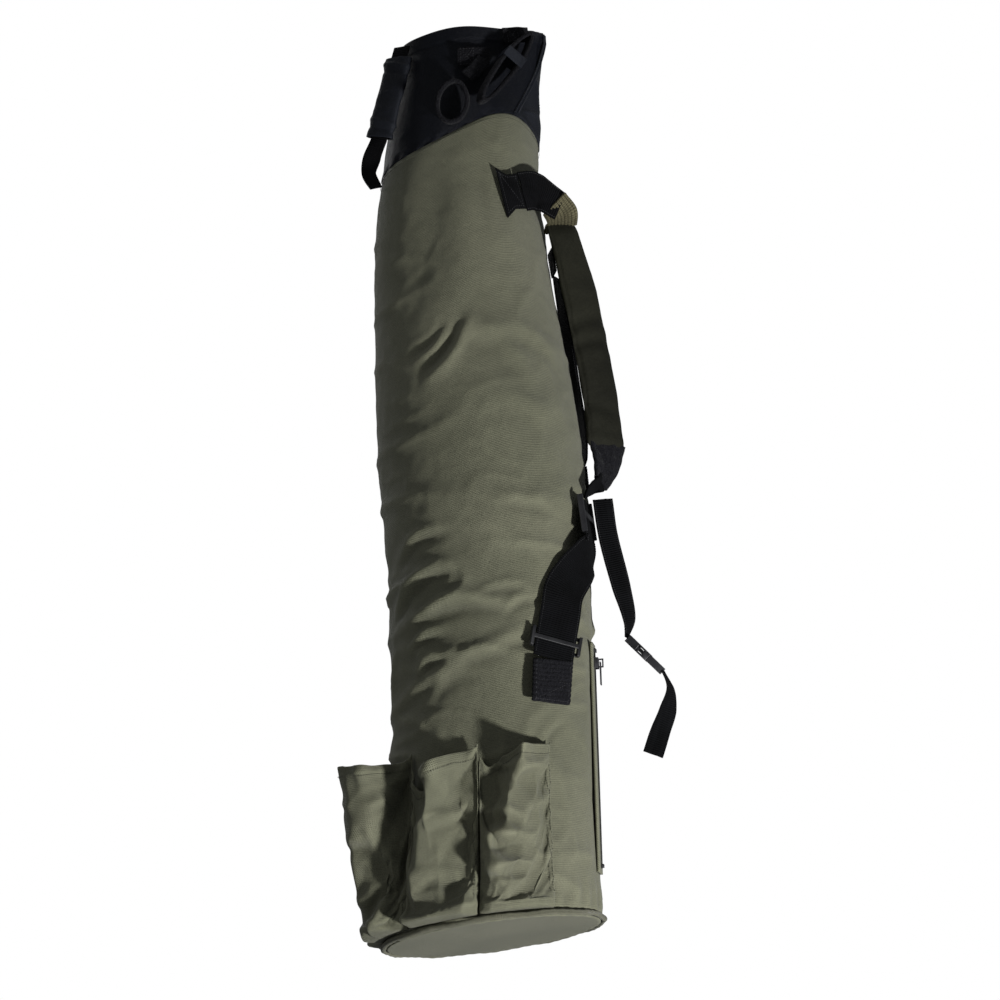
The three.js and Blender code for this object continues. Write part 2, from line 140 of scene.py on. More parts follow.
def makeWorld(softLight):
    # white to the camera, and dim to every other ray
    world = bpy.data.worlds.new("Studio")
    world.use_nodes = True
    tree = world.node_tree
    tree.nodes.clear()
    rays = addNode(tree, "ShaderNodeLightPath")
    seen = addNode(tree, "ShaderNodeBackground", {"Color": (1, 1, 1, 1), "Strength": 1.0})
    soft = addNode(tree, "ShaderNodeBackground", {"Color": (0.93, 0.96, 1, 1), "Strength": softLight})
    inputs = {0: rays.outputs["Is Camera Ray"], 1: soft.outputs[0], 2: seen.outputs[0]}
    both = addNode(tree, "ShaderNodeMixShader", inputs)
    addNode(tree, "ShaderNodeOutputWorld", {"Surface": both.outputs[0]})
    scene.world = world
    scene.view_settings.view_transform = "Standard"


makeWorld(0.15)


def makeFloor(half, low):
    # opaque only to camera rays from above, so that light from below passes
    mesh = bpy.data.meshes.new("floor")
    corners = [(-half, -half, low), (half, -half, low), (half, half, low), (-half, half, low)]
    mesh.from_pydata(corners, [], [(0, 1, 2, 3)])
    floor = bpy.data.objects.new("floor", mesh)
    scene.collection.objects.link(floor)
    material, tree = emptyMaterial("floorPaint")
    rays = addNode(tree, "ShaderNodeLightPath")
    side = addNode(tree, "ShaderNodeNewGeometry")
    front = maths(tree, "SUBTRACT", 1.0, side.outputs["Backfacing"])
    shown = maths(tree, "MULTIPLY", front, rays.outputs["Is Camera Ray"])
    paint = addNode(tree, "ShaderNodeBsdfDiffuse", {"Color": (0.86, 0.86, 0.85, 1)})
    clear = addNode(tree, "ShaderNodeBsdfTransparent")
    inputs = {0: shown, 1: clear.outputs[0], 2: paint.outputs[0]}
    both = addNode(tree, "ShaderNodeMixShader", inputs)
    addNode(tree, "ShaderNodeOutputMaterial", {"Surface": both.outputs[0]})
    mesh.materials.append(material)


makeFloor(3.0, -0.0006)
print("camera, lights and floor made")


def startMaterial(name):
    material, tree = emptyMaterial(name)
    shader = addNode(tree, "ShaderNodeBsdfPrincipled")
    addNode(tree, "ShaderNodeOutputMaterial", {"Surface": shader.outputs[0]})
    return material, tree, shader, addNode(tree, "ShaderNodeTexCoord").outputs["Object"]


def clothPlace(tree):
    # the piece's own cloth map, in metres, whole and split in two
    uv = addNode(tree, "ShaderNodeUVMap", uv_map="cloth").outputs[0]
    split = addNode(tree, "ShaderNodeSeparateXYZ", {0: uv}).outputs
    return uv, split[0], split[1]


def waveAlong(tree, value, pitch):
    # a sine of one coordinate, with the pitch in metres
    return maths(tree, "SINE", maths(tree, "MULTIPLY", value, 2 * math.pi / pitch))


def noiseAt(tree, place, scale, detail=2.0, rough=0.5):
    inputs = {"Vector": place, "Scale": scale, "Detail": detail, "Roughness": rough}
    return addNode(tree, "ShaderNodeTexNoise", inputs).outputs["Fac"]


def mapped(tree, value, low, high, bottom=0.0, top=1.0):
    inputs = {0: value, 1: low, 2: high, 3: bottom, 4: top}
    return addNode(tree, "ShaderNodeMapRange", inputs).outputs[0]


def bumped(tree, strength, distance, height, under=None):
    # raised by a height, over another bump if there is one
    inputs = {"Strength": strength, "Distance": distance, "Height": height}
    if under:
        inputs["Normal"] = under
    return addNode(tree, "ShaderNodeBump", inputs).outputs[0]


def blendTones(tree, factor, low, high, dark, light):
    inputs = {0: mapped(tree, factor, low, high), 6: (*dark, 1), 7: (*light, 1)}
    return addNode(tree, "ShaderNodeMix", inputs, data_type="RGBA").outputs[2]


def multiplied(tree, colour, factor, low, high, dim, lift):
    # the colour made darker or lighter by a pattern
    scaled = {0: colour, "Scale": mapped(tree, factor, low, high, dim, lift)}
    return addNode(tree, "ShaderNodeVectorMath", scaled, operation="SCALE").outputs[0]


def wovenCloth(name, look):
    # plain weave with mottling, flecks, slubs and puckers, with rubbed lighter ridges and painted shade
    # darkening the hollows of creases
    material, tree, shader, place = startMaterial(name)
    uv, across, along = clothPlace(tree)
    warp = waveAlong(tree, across, look["warp"])
    weft = waveAlong(tree, along, look["weft"])
    weave = maths(tree, "ADD", maths(tree, "MULTIPLY", weft, 0.6), maths(tree, "MULTIPLY", warp, weft))
    cloudy = noiseAt(tree, place, 7.0, 3.0)
    drawnOut = addNode(tree, "ShaderNodeMapping", {0: uv, "Scale": (60, 1400, 1)}).outputs[0]
    wearAndCreaseShade = addNode(tree, "ShaderNodeNewGeometry").outputs["Pointiness"]
    fleck = look["fleck"]
    colour = blendTones(tree, cloudy, 0.35, 0.65, look["dark"], look["light"])
    for pattern, low, high, dim, lift in (
        (noiseAt(tree, place, 620.0, 2.0, 0.7), 0.3, 0.7, 1 - fleck, 1 + fleck),
        (noiseAt(tree, drawnOut, 1.0), 0.35, 0.65, 0.93, 1.07),
        (weave, -1.6, 1.6, 1 - fleck * 0.8, 1 + fleck * 0.8),
        # painted shade in crease hollows, and lighter rubbed wear on ridges
        (wearAndCreaseShade, 0.44, 0.56, 0.72, 1.3),
    ):
        colour = multiplied(tree, colour, pattern, low, high, dim, lift)
    puckered = bumped(tree, 0.7, look["puckerDepth"], noiseAt(tree, place, look["pucker"], 3.0, 0.6))
    plug(tree, shader, {
        "Base Color": colour,
        "Roughness": mapped(tree, cloudy, 0.3, 0.7, look["rough"] - 0.07, look["rough"] + 0.07),
        "Sheen Weight": look["sheen"],
        "Sheen Roughness": 0.45,
        "Specular IOR Level": look["gloss"],
        "Normal": bumped(tree, 0.8, look["weaveDepth"], weave, puckered),
    })
    return material


def webbingCloth(name, look):
    # ribs across the strap, with finer threads along it
    material, tree, shader, place = startMaterial(name)
    _, across, along = clothPlace(tree)
    rib = waveAlong(tree, along, look["rib"])
    thread = waveAlong(tree, across, look["thread"])
    weave = maths(tree, "ADD", rib, maths(tree, "MULTIPLY", thread, 0.55))
    grain = noiseAt(tree, place, 900.0, 2.0, 0.7)
    colour = blendTones(tree, noiseAt(tree, place, 30.0, 3.0), 0.35, 0.65, look["dark"], look["light"])
    colour = multiplied(tree, colour, weave, -1.5, 1.5, 0.55, 1.5)
    plug(tree, shader, {
        "Base Color": multiplied(tree, colour, grain, 0.3, 0.7, 0.72, 1.3),
        "Roughness": look["rough"],
        "Sheen Weight": look["sheen"],
        "Sheen Roughness": 0.5,
        "Specular IOR Level": 0.12,
        "Normal": bumped(tree, 0.9, look["depth"], weave, bumped(tree, 0.6, 0.0004, grain)),
    })
    return material


def fuzzyTape(name, look):
    # brushed hook and loop tape
    material, tree, shader, place = startMaterial(name)
    tufts = addNode(tree, "ShaderNodeTexVoronoi", {"Vector": place, "Scale": 650.0}).outputs["Distance"]
    loose = noiseAt(tree, place, 260.0, 4.0, 0.7)
    colour = blendTones(tree, loose, 0.3, 0.7, look["dark"], look["light"])
    height = maths(tree, "SUBTRACT", loose, maths(tree, "MULTIPLY", tufts, 0.8))
    plug(tree, shader, {
        "Base Color": multiplied(tree, colour, tufts, 0.0, 0.6, 1.5, 0.6),
        "Roughness": 0.95,
        "Sheen Weight": look["sheen"],
        "Sheen Roughness": 0.35,
        "Specular IOR Level": 0.15,
        "Normal": bumped(tree, 1.0, 0.0012, height),
    })
    return material


def moulded(name, dark, light, rough, rubbed, metal=0.0):
    # moulded plastic or blackened metal, a little rubbed on its edges
    material, tree, shader, place = startMaterial(name)
    smears = noiseAt(tree, place, 60.0, 3.0, 0.55)
    edges = addNode(tree, "ShaderNodeNewGeometry").outputs["Pointiness"]
    colour = blendTones(tree, smears, 0.3, 0.7, dark, light)
    plug(tree, shader, {
        "Base Color": multiplied(tree, colour, edges, 0.5, 0.62, 1.0, rubbed),
        "Roughness": mapped(tree, smears, 0.3, 0.7, rough - 0.08, rough + 0.1),
        "Metallic": metal,
        "Normal": bumped(tree, 0.35, 0.0003, noiseAt(tree, place, 900.0, 3.0, 0.6)),
    })
    return material


oliveLook = {
    "dark": (0.118, 0.120, 0.076),
    "light": (0.152, 0.152, 0.100),
    "fleck": 0.16,
    "warp": 0.0016,
    "weft": 0.0021,
    "weaveDepth": 0.00035,
    "rough": 0.66,
    "sheen": 0.12,
    "gloss": 0.42,
    "pucker": 75.0,
    "puckerDepth": 0.0016,
}
oliveCloth = wovenCloth("oliveCloth", oliveLook)
oliveShade = wovenCloth(
    "oliveShade", {**oliveLook, "dark": (0.085, 0.085, 0.055), "light": (0.115, 0.113, 0.075)}
)
navyLook = {
    "dark": (0.0026, 0.0034, 0.0062),
    "light": (0.0052, 0.0064, 0.0105),
    "fleck": 0.22,
    "warp": 0.0014,
    "weft": 0.0014,
    "weaveDepth": 0.0002,
    "rough": 0.5,
    "sheen": 0.0,
    "gloss": 0.16,
    "pucker": 55.0,
    "puckerDepth": 0.0026,
}
navyCloth = wovenCloth("navyCloth", navyLook)
sideLook = {"dark": (0.0080, 0.0095, 0.0135), "light": (0.0175, 0.0195, 0.0255), "rough": 0.46}
navySide = wovenCloth("navySide", {**navyLook, **sideLook})
# the pad cover's dark olive, darkened further by painted shade to the tone of its shaded face
padOliveAndShadeLook = {"dark": (0.0085, 0.0085, 0.0052), "light": (0.0165, 0.0165, 0.0100), "rough": 0.68}
padOliveAndShadeCloth = wovenCloth("padOliveAndShadeCloth", {**navyLook, **padOliveAndShadeLook})
blackLook = {
    "dark": (0.0016, 0.0017, 0.0021),
    "light": (0.0038, 0.0040, 0.0050),
    "rib": 0.0026,
    "thread": 0.0011,
    "rough": 0.8,
    "sheen": 0.0,
    "depth": 0.0005,
}
blackWebbing = webbingCloth("blackWebbing", blackLook)
ribbedLook = {**blackLook, "dark": (0.05, 0.045, 0.026), "light": (0.115, 0.105, 0.062), "depth": 0.0003}
oliveWebbing = webbingCloth("oliveWebbing", ribbedLook)
hookLook = {"dark": (0.004, 0.004, 0.006), "light": (0.016, 0.016, 0.019), "sheen": 0.04}
hookTape = fuzzyTape("hookTape", hookLook)
blackPlastic = moulded("blackPlastic", (0.006, 0.006, 0.007), (0.011, 0.011, 0.0125), 0.42, 2.4)
darkMetal = moulded("darkMetal", (0.05, 0.05, 0.055), (0.1, 0.1, 0.11), 0.36, 3.0, metal=0.85)
greyBoard = moulded("greyBoard", (0.018, 0.018, 0.02), (0.03, 0.03, 0.032), 0.6, 1.5)
greyFoam = moulded("greyFoam", (0.16, 0.16, 0.14), (0.22, 0.22, 0.2), 0.85, 1.2)
oliveThread = moulded("oliveThread", (0.045, 0.046, 0.03), (0.085, 0.085, 0.058), 0.7, 1.0)
blackThread = moulded("blackThread", (0.01, 0.01, 0.012), (0.03, 0.03, 0.034), 0.65, 1.0)
print("finishes made")


def surfaceOf(*names):
    points, faces = [], []
    for name in names:
        mesh = nodes[name].data
        start = len(points)
        points += [vertex.co.copy() for vertex in mesh.vertices]
        faces += [[start + index for index in polygon.vertices] for polygon in mesh.polygons]
    return BVHTree.FromPolygons(points, faces)


def hitFrom(surface, start, direction):
    hit = surface.ray_cast(Vector(start), Vector(direction))[0]
    return hit if hit else Vector((math.nan,) * 3)


def measureTube(low, high, count):
    # height, middle along X, half width and half depth
    surface = surfaceOf("main_body", "collar_front_panel", "collar_side_panel")
    heights = np.linspace(low, high, count)
    aside = 0.0013  # clear of the edges between faces
    rows = []
    for z in heights:
        left = hitFrom(surface, (-1, aside, z), (1, 0, 0)).x
        right = hitFrom(surface, (1, aside, z), (-1, 0, 0)).x
        middle = (left + right) / 2
        front = hitFrom(surface, (middle + aside, -1, z), (0, 1, 0)).y
        rows.append((middle, (right - left) / 2, -front))
    table = np.array(rows)
    for column in range(3):
        # beside the collar seam a ray can slip between the walls, so those heights are filled in
        good = ~np.isnan(table[:, column]) & ((heights < 0.93) | (heights > 1.015))
        table[:, column] = np.interp(heights, heights[good], table[good, column])
    for _ in range(2):
        table[1:-1] = (table[:-2] + 2 * table[1:-1] + table[2:]) / 4
    return heights, table


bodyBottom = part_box("main_body")[0][2]
tubeHeights, tubeTable = measureTube(bodyBottom + 0.002, 1.092, 64)


def onTube(degrees, z, offset=0.0):
    angle, z = np.broadcast_arrays(np.radians(degrees), np.asarray(z, float))
    middle, halfWidth, halfDepth = (np.interp(z, tubeHeights, tubeTable[:, k]) for k in range(3))
    x = middle + (halfWidth + offset) * np.cos(angle)
    y = (halfDepth + offset) * np.sin(angle)
    return np.stack([x, y, z], axis=-1)


def seamHeight(degrees):
    # higher at the front right, where the side panel starts
    away = (np.asarray(degrees) + 58 + 180) % 360 - 180
    return 0.955 + 0.010 * np.cos(np.radians(degrees + 35)) + 0.026 * np.exp(-((away / 38) ** 2))


def rimHeight(degrees):
    wave = 0.004 * np.sin(np.radians(3 * degrees))
    front = (np.asarray(degrees) + 66 + 180) % 360 - 180
    left = (np.asarray(degrees) + 158 + 180) % 360 - 180
    dip = 0.014 * np.exp(-((front / 36) ** 2))
    return 1.106 + 0.006 * np.cos(np.radians(degrees + 20)) + wave - dip + 0.012 * np.exp(-((left / 34) ** 2))


def cloudNoise(points, size, seed):
    # smooth noise from -1 to 1 at an array of points
    values = np.random.default_rng(seed).random((32, 32, 32)) * 2 - 1
    place = np.asarray(points) / size
    cell = np.floor(place).astype(int)
    t = place - cell
    t = t * t * (3 - 2 * t)
    total = 0
    for dx in (0, 1):
        for dy in (0, 1):
            for dz in (0, 1):
                corner = values[(cell[..., 0] + dx) % 32, (cell[..., 1] + dy) % 32, (cell[..., 2] + dz) % 32]
                share = np.abs(1 - dx - t[..., 0]) * np.abs(1 - dy - t[..., 1]) * np.abs(1 - dz - t[..., 2])
                total = total + corner * share
    return total


def creases(points, size, seed, sharp=3.0):
    # thin ridges between flatter patches, 0 to 1
    warp = np.stack([cloudNoise(points, size * 1.7, seed + k) for k in (11, 12, 13)], axis=-1)
    bent = points + warp * size * 0.45
    return (1 - np.abs(cloudNoise(bent, size, seed))) ** sharp


def smoothstep(low, high, value):
    t = np.clip((value - low) / (high - low), 0, 1)
    return t * t * (3 - 2 * t)


def gridNormals(grid, wrapCols=False, wrapRows=False):
    across = np.gradient(grid, axis=1)
    along = np.gradient(grid, axis=0)
    if wrapCols:
        across = (np.roll(grid, -1, axis=1) - np.roll(grid, 1, axis=1)) / 2
    if wrapRows:
        along = (np.roll(grid, -1, axis=0) - np.roll(grid, 1, axis=0)) / 2
    normal = np.cross(across, along)
    return normal / np.maximum(np.linalg.norm(normal, axis=-1, keepdims=True), 1e-12)


def lengthsAlong(grid, axis, wrap):
    steps = np.linalg.norm(np.diff(grid, axis=axis), axis=-1).mean(axis=1 - axis)
    total = np.concatenate([[0.0], np.cumsum(steps)])
    return np.append(total, total[-1] + steps.mean()) if wrap else total


def link(obj):
    scene.collection.objects.link(obj)
    return obj


def finished(obj, body, material, stands=()):
    # puts a piece on its body, with what it stands for and its finish
    obj.data.materials.clear()
    obj.data.materials.append(material)
    obj.data.polygons.foreach_set("use_smooth", [True] * len(obj.data.polygons))
    if stands:
        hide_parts(*stands)
    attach(obj, body)
    return obj


def recalculated(mesh):
    work = bmesh.new()
    work.from_mesh(mesh)
    bmesh.ops.recalc_face_normals(work, faces=work.faces)
    work.to_mesh(mesh)
    work.free()
    mesh.update()


def placesOf(mesh):
    flat = np.empty(len(mesh.vertices) * 3)
    mesh.vertices.foreach_get("co", flat)
    return flat.reshape(-1, 3)


def layCloth(mesh, places):
    # the cloth map, from a flat place for each vertex
    layer = mesh.uv_layers.new(name="cloth")
    corners = [loop.vertex_index for loop in mesh.loops]
    layer.uv.foreach_set("vector", np.asarray(places)[corners].reshape(-1).astype(np.float32))


def ringFaces(rows, cols, closed=False):
    # faces round a stack of rings, which may close on itself
    faces = []
    for i in range(rows if closed else rows - 1):
        low, high = i * cols, (i + 1) % rows * cols
        for j in range(cols):
            k = (j + 1) % cols
            faces.append((low + j, low + k, high + k, high + j))
    return faces


def shell(name, grid, thickness, wrapCols=False, wrapRows=False):
    # a sheet with two faces and closed rims; thickness is a number or one for each point
    rows, cols = grid.shape[:2]
    normal = gridNormals(grid, wrapCols, wrapRows)
    half = np.broadcast_to(np.asarray(thickness, float), (rows, cols))[..., None] / 2
    points = np.concatenate([(grid + normal * half).reshape(-1, 3), (grid - normal * half).reshape(-1, 3)])
    spanRows = rows if wrapRows else rows - 1
    spanCols = cols if wrapCols else cols - 1
    i, j = (part.ravel() for part in np.meshgrid(np.arange(spanRows), np.arange(spanCols), indexing="ij"))
    i2, j2 = (i + 1) % rows, (j + 1) % cols
    back = rows * cols
    a, b, c, d = i * cols + j, i * cols + j2, i2 * cols + j2, i2 * cols + j
    u, v = lengthsAlong(grid, 1, wrapCols), lengthsAlong(grid, 0, wrapRows)
    corners = [np.stack([u[j], v[i]], -1), np.stack([u[j + 1], v[i]], -1),
               np.stack([u[j + 1], v[i + 1]], -1), np.stack([u[j], v[i + 1]], -1)]
    faces = [np.stack([a, b, c, d], -1), np.stack([d, c, b, a], -1) + back]
    uvs = [np.stack(corners, 1), np.stack(corners[::-1], 1)]

    def rim(first, second, uFirst, uSecond):
        # joins an edge of the front to the same edge of the back
        faces.append(np.stack([second, first, first + back, second + back], -1))
        shift = np.array([0.0, 0.002])
        uvs.append(np.stack([uSecond, uFirst, uFirst + shift, uSecond + shift], 1))

    if not wrapRows:
        k = np.arange(spanCols)
        k2 = (k + 1) % cols
        flat = np.zeros(spanCols)
        rim(k, k2, np.stack([u[k], flat], -1), np.stack([u[k + 1], flat], -1))
        top = (rows - 1) * cols
        rim(top + k2, top + k, np.stack([u[k + 1], flat + v[-1]], -1), np.stack([u[k], flat + v[-1]], -1))
    if not wrapCols:
        k = np.arange(spanRows)
        k2 = (k + 1) % rows
        flat = np.zeros(spanRows)
        last = cols - 1
        rim(k2 * cols, k * cols, np.stack([flat, v[k + 1]], -1), np.stack([flat, v[k]], -1))
        rim(k * cols + last, k2 * cols + last, np.stack([flat + u[-1], v[k]], -1),
            np.stack([flat + u[-1], v[k + 1]], -1))
    mesh = bpy.data.meshes.new(name)
    mesh.from_pydata(points.tolist(), [], np.concatenate(faces).tolist())
    layer = mesh.uv_layers.new(name="cloth")
    layer.uv.foreach_set("vector", np.concatenate(uvs).reshape(-1).astype(np.float32))
    mesh.update()
    obj = bpy.data.objects.new(name, mesh)
    return link(obj)


def smoothLine(points, count):
    # a centripetal curve through the points
    points = np.asarray(points, float)
    padded = np.vstack([2 * points[0] - points[1], points, 2 * points[-1] - points[-2]])
    share = np.linspace(0, len(points) - 1, count)
    made = []
    for value in share:
        k = min(int(value), len(points) - 2)
        p0, p1, p2, p3 = padded[k:k + 4]
        d0, d1, d2 = (max(np.linalg.norm(b - a), 1e-9) ** 0.5 for a, b in ((p0, p1), (p1, p2), (p2, p3)))
        start = ((p1 - p0) / d0 - (p2 - p0) / (d0 + d1) + (p2 - p1) / d1) * d1
        end = ((p2 - p1) / d1 - (p3 - p1) / (d1 + d2) + (p3 - p2) / d2) * d1
        t = value - k
        made.append(
            (2 * t**3 - 3 * t**2 + 1) * p1 + (t**3 - 2 * t**2 + t) * start
            + (3 * t**2 - 2 * t**3) * p2 + (t**3 - t**2) * end
        )
    return np.array(made)


def unit(vectors):
    return vectors / np.maximum(np.linalg.norm(vectors, axis=-1, keepdims=True), 1e-12)


def stripFrames(line, count):
    # middle, across, face and width along a strap from its [point, across, width] stations in mm
    middle = smoothLine([np.array(s[0]) / 1000 for s in line], count)
    tangent = unit(np.gradient(middle, axis=0))
    across = smoothLine([unit(np.array(s[1], float)) for s in line], count)
    across = unit(across - tangent * np.sum(across * tangent, axis=1, keepdims=True))
    width = np.interp(np.linspace(0, len(line) - 1, count), range(len(line)), [s[2] / 1000 for s in line])
    return middle, across, np.cross(tangent, across), width


def strip(name, piece, relief=None):
    # a length of webbing; relief lifts points by (along, across) where it creases
    rows, cols = piece.get("rows", 60), piece.get("cols", 19)
    middle, across, face, width = stripFrames(piece["line"], rows)
    share = np.linspace(-1, 1, cols)
    grid = middle[:, None] + across[:, None] * (share[None, :, None] * width[:, None, None] / 2)
    if relief is not None:
        lift = relief(np.linspace(0, 1, rows)[:, None], share[None, :])
        grid = grid + face[:, None] * lift[..., None]
    edge = np.clip((1 - np.abs(share)) * 9, 0.35, 1) ** 0.5
    return shell(name, grid, np.broadcast_to(edge * piece["thick"], (rows, cols)))


print("tube measured, %.0f mm to %.0f mm" % (tubeHeights[0] * 1000, tubeHeights[-1] * 1000))


bodySettings = {
    "rows": 208,
    "cols": 228,
    "cloth": 0.0014,
    "radius": 0.122,  # for arc lengths round the tube
    # each fold: degrees and height at both ends, then half width and depth in mm
    "folds": [
        (-89, 0.723, -121, 0.654, 9, 6.0),
        (-102, 0.717, -128, 0.683, 7, 4.0),
        (-96, 0.726, -54, 0.640, 13, 4.0),
        (-78, 0.711, -30, 0.672, 12, 3.4),
        (-86, 0.622, -44, 0.592, 14, 2.4),
        (-80, 0.503, -46, 0.484, 8, 4.0),
        (-150, 0.458, -108, 0.479, 8, 5.0),
        (-158, 0.396, -104, 0.432, 9, 6.0),
        (-134, 0.378, -79, 0.371, 8, 7.5),
        (-80, 0.370, -57, 0.377, 6, 5.0),
        (-96, 0.391, -66, 0.388, 5, 3.4),
        (-142, 0.341, -113, 0.356, 6, 4.6),
        (-138, 0.312, -112, 0.323, 7, 5.0),
        (-128, 0.285, -98, 0.302, 9, 4.0),
        (-62, 0.206, -44, 0.236, 6, 4.0),
        (-86, 0.930, -110, 0.717, 34, 5.0),
        (-60, 0.930, -72, 0.800, 20, 3.0),
        (150, 0.62, 100, 0.57, 10, 4.5),
        (60, 0.44, 118, 0.40, 11, 5.0),
        (-170, 0.27, 140, 0.30, 9, 5.0),
        (40, 0.24, 92, 0.20, 10, 5.0),
        (120, 0.86, 80, 0.74, 18, 4.0),
    ],
    "creaseDepth": 0.0050,
    "creaseSize": 0.12,
    "broadDepth": 0.0048,
    # places where something is sewn on: degrees, height, half widths, where folds stay low
    "held": [(-8, 0.19, 12, 0.17), (10, 0.54, 13, 0.03), (10, 0.822, 13, 0.03), (24, 0.68, 20, 0.13),
             (-46, 0.887, 17, 0.045), (-60, 0.262, 17, 0.045), (-62, 0.35, 15, 0.06)],
}


def foldRelief(degrees, z, folds, radius):
    # a raised fold with a trough beside it along each line
    arc = np.radians(degrees) * radius
    relief = np.zeros(np.broadcast(arc, z).shape)
    for fromDegrees, fromZ, toDegrees, toZ, width, depth in folds:
        start = np.array([math.radians(fromDegrees) * radius, fromZ])
        end = np.array([math.radians(toDegrees) * radius, toZ])
        along = end - start
        length = np.linalg.norm(along)
        along = along / length
        for turn in (-1, 0, 1):  # the same fold one turn either way
            ds = arc - start[0] + turn * 2 * math.pi * radius
            dz = z - start[1]
            t = (ds * along[0] + dz * along[1]) / length
            bow = 0.10 * length * np.sin(np.pi * np.clip(t, 0, 1))
            off = (-ds * along[1] + dz * along[0] - bow) * 1000 / width
            ends = smoothstep(-0.15, 0.3, t) * (1 - smoothstep(0.6, 1.12, t))
            relief = relief + depth / 1000 * ends * (np.exp(-off**2) - 0.7 * np.exp(-(off + 1.5) ** 2))
    return relief


def bodyRelief(degrees, z, settings):
    place = onTube(degrees, z)
    radius = settings["radius"]
    sway = cloudNoise(place, 0.05, 5) * 0.006
    relief = foldRelief(degrees + np.degrees(sway / radius), z + sway, settings["folds"], radius)
    low = 0.40 + 0.60 * (1 - smoothstep(0.45, 0.75, z))
    flat = place * np.array([1.0, 1.0, 2.1])  # creases run round more than up
    relief = relief + settings["creaseDepth"] * low * (creases(flat, settings["creaseSize"], 21, 5.0) - 0.35)
    slanted = place @ np.array([[1.0, 0, 0.5], [0, 1.0, 0.25], [-0.6, 0, 1.5]])
    relief = relief + 0.45 * settings["creaseDepth"] * low * (creases(slanted, 0.055, 33, 4.0) - 0.35)
    relief = relief + settings["broadDepth"] * cloudNoise(place * np.array([1, 1, 0.8]), 0.16, 8)
    relief = relief + 0.0005 * cloudNoise(place, 0.012, 4)
    for heldDegrees, heldZ, halfDegrees, halfZ in settings["held"]:
        turn = (degrees - heldDegrees + 180) % 360 - 180
        inside = 1 - smoothstep(0.75, 1.5, np.maximum(np.abs(turn) / halfDegrees, np.abs(z - heldZ) / halfZ))
        relief = np.where(relief > 0, relief * (1 - inside), relief)
    # the seam with the collar and the foot are held by their stitching
    ends = smoothstep(0, 0.03, seamHeight(degrees) - z) * smoothstep(0, 0.025, z - bodyBottom)
    gathers = 0.0016 * np.sin(np.radians(degrees) * 31 + 3 * cloudNoise(place, 0.09, 2))
    foot = gathers * (1 - smoothstep(0.01, 0.06, z)) * smoothstep(0, 0.012, z - bodyBottom)
    return relief * ends + foot


def makeBody(settings):
    turn = np.linspace(0, 360, settings["cols"], endpoint=False)[None, :]
    rise = np.linspace(0, 1, settings["rows"])[:, None]
    z = bodyBottom + rise * (seamHeight(turn) - bodyBottom)
    degrees = np.broadcast_to(turn, z.shape)
    offset = bodyRelief(degrees, z, settings) - settings["cloth"]
    body = shell("body_cloth", onTube(degrees, z, offset), settings["cloth"], wrapCols=True)
    return finished(body, "bag", oliveCloth, ["main_body"])


makeBody(bodySettings)
print("body cloth made")


baseSettings = {"radius": 0.1275, "thick": 0.0022, "rows": 34, "cols": 180}


def makeBase(settings):
    # a round panel with a softly rounded edge, a little uneven where it is sewn
    turn = np.linspace(0, 2 * np.pi, settings["cols"], endpoint=False)
    rings = []
    profile = [(r, 0.0) for r in np.linspace(0.002, 0.985, settings["rows"])]
    profile += [(1.0, 0.0007), (0.996, 0.0021)]
    profile += [(r, 0.0023) for r in (0.9, 0.6, 0.3, 0.002)]
    for share, lift in profile:
        radius = settings["radius"] * share
        x, y = radius * np.cos(turn), radius * np.sin(turn)
        puckers = 0.00035 * share**6 * (1 + np.sin(turn * 41 + 2 * np.sin(turn * 5)))
        rings.append(np.stack([x, y, lift + (puckers if lift < 0.001 else 0 * puckers)], -1))
    mesh = bpy.data.meshes.new("base_cloth")
    rows, cols = len(rings), settings["cols"]
    faces = ringFaces(rows, cols) + [tuple(range(cols)), tuple(range((rows - 1) * cols, rows * cols))]
    points = np.concatenate(rings)
    mesh.from_pydata(points.tolist(), [], faces)
    layCloth(mesh, points[:, :2])
    recalculated(mesh)
    base = link(bpy.data.objects.new("base_cloth", mesh))
    return finished(base, "bag", oliveCloth, ["base_disc"])


def roundTube(name, line, radius, sides):
    # a round section along a closed line
    rows = len(line)
    tangent = unit(np.roll(line, -1, 0) - np.roll(line, 1, 0))
    side = unit(np.cross(tangent, np.array([0.0, 0.0, 1.0]) + 1e-6))
    up = np.cross(side, tangent)
    angle = np.linspace(0, 2 * np.pi, sides, endpoint=False)[None, :, None]
    ring = side[:, None] * np.cos(angle) + up[:, None] * np.sin(angle)
    points = line[:, None] + ring * radius[:, None, None]
    mesh = bpy.data.meshes.new(name)
    mesh.from_pydata(points.reshape(-1, 3).tolist(), [], ringFaces(rows, sides, closed=True))
    reach = np.append(0, np.cumsum(np.linalg.norm(np.diff(line, axis=0), axis=1)))
    layCloth(mesh, np.stack([np.tile(np.arange(sides) * 0.0022, rows), np.repeat(reach, sides)], -1))
    recalculated(mesh)
    return link(bpy.data.objects.new(name, mesh))


pipingSettings = {"radius": 0.0034, "wave": 0.0009, "points": 260}


def makePiping(settings):
    low, high = (np.array(corner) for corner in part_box("base_piping"))
    ringRadius = (high[0] - low[0]) / 2 - settings["radius"]
    turn = np.linspace(0, 2 * np.pi, settings["points"], endpoint=False)
    wave = settings["wave"] * (np.sin(turn * 7) * 0.6 + np.sin(turn * 17 + 1) * 0.4)
    lift = (low[2] + high[2]) / 2 + 0.0006 * np.sin(turn * 11)
    line = np.stack([(ringRadius + wave) * np.cos(turn), (ringRadius + wave) * np.sin(turn), lift], -1)
    thick = settings["radius"] * (1 + 0.07 * np.sin(turn * 61) + 0.05 * np.sin(turn * 23 + 2))
    piping = roundTube("base_binding", line, thick, 10)
    return finished(piping, "bag", oliveShade, ["base_piping"])


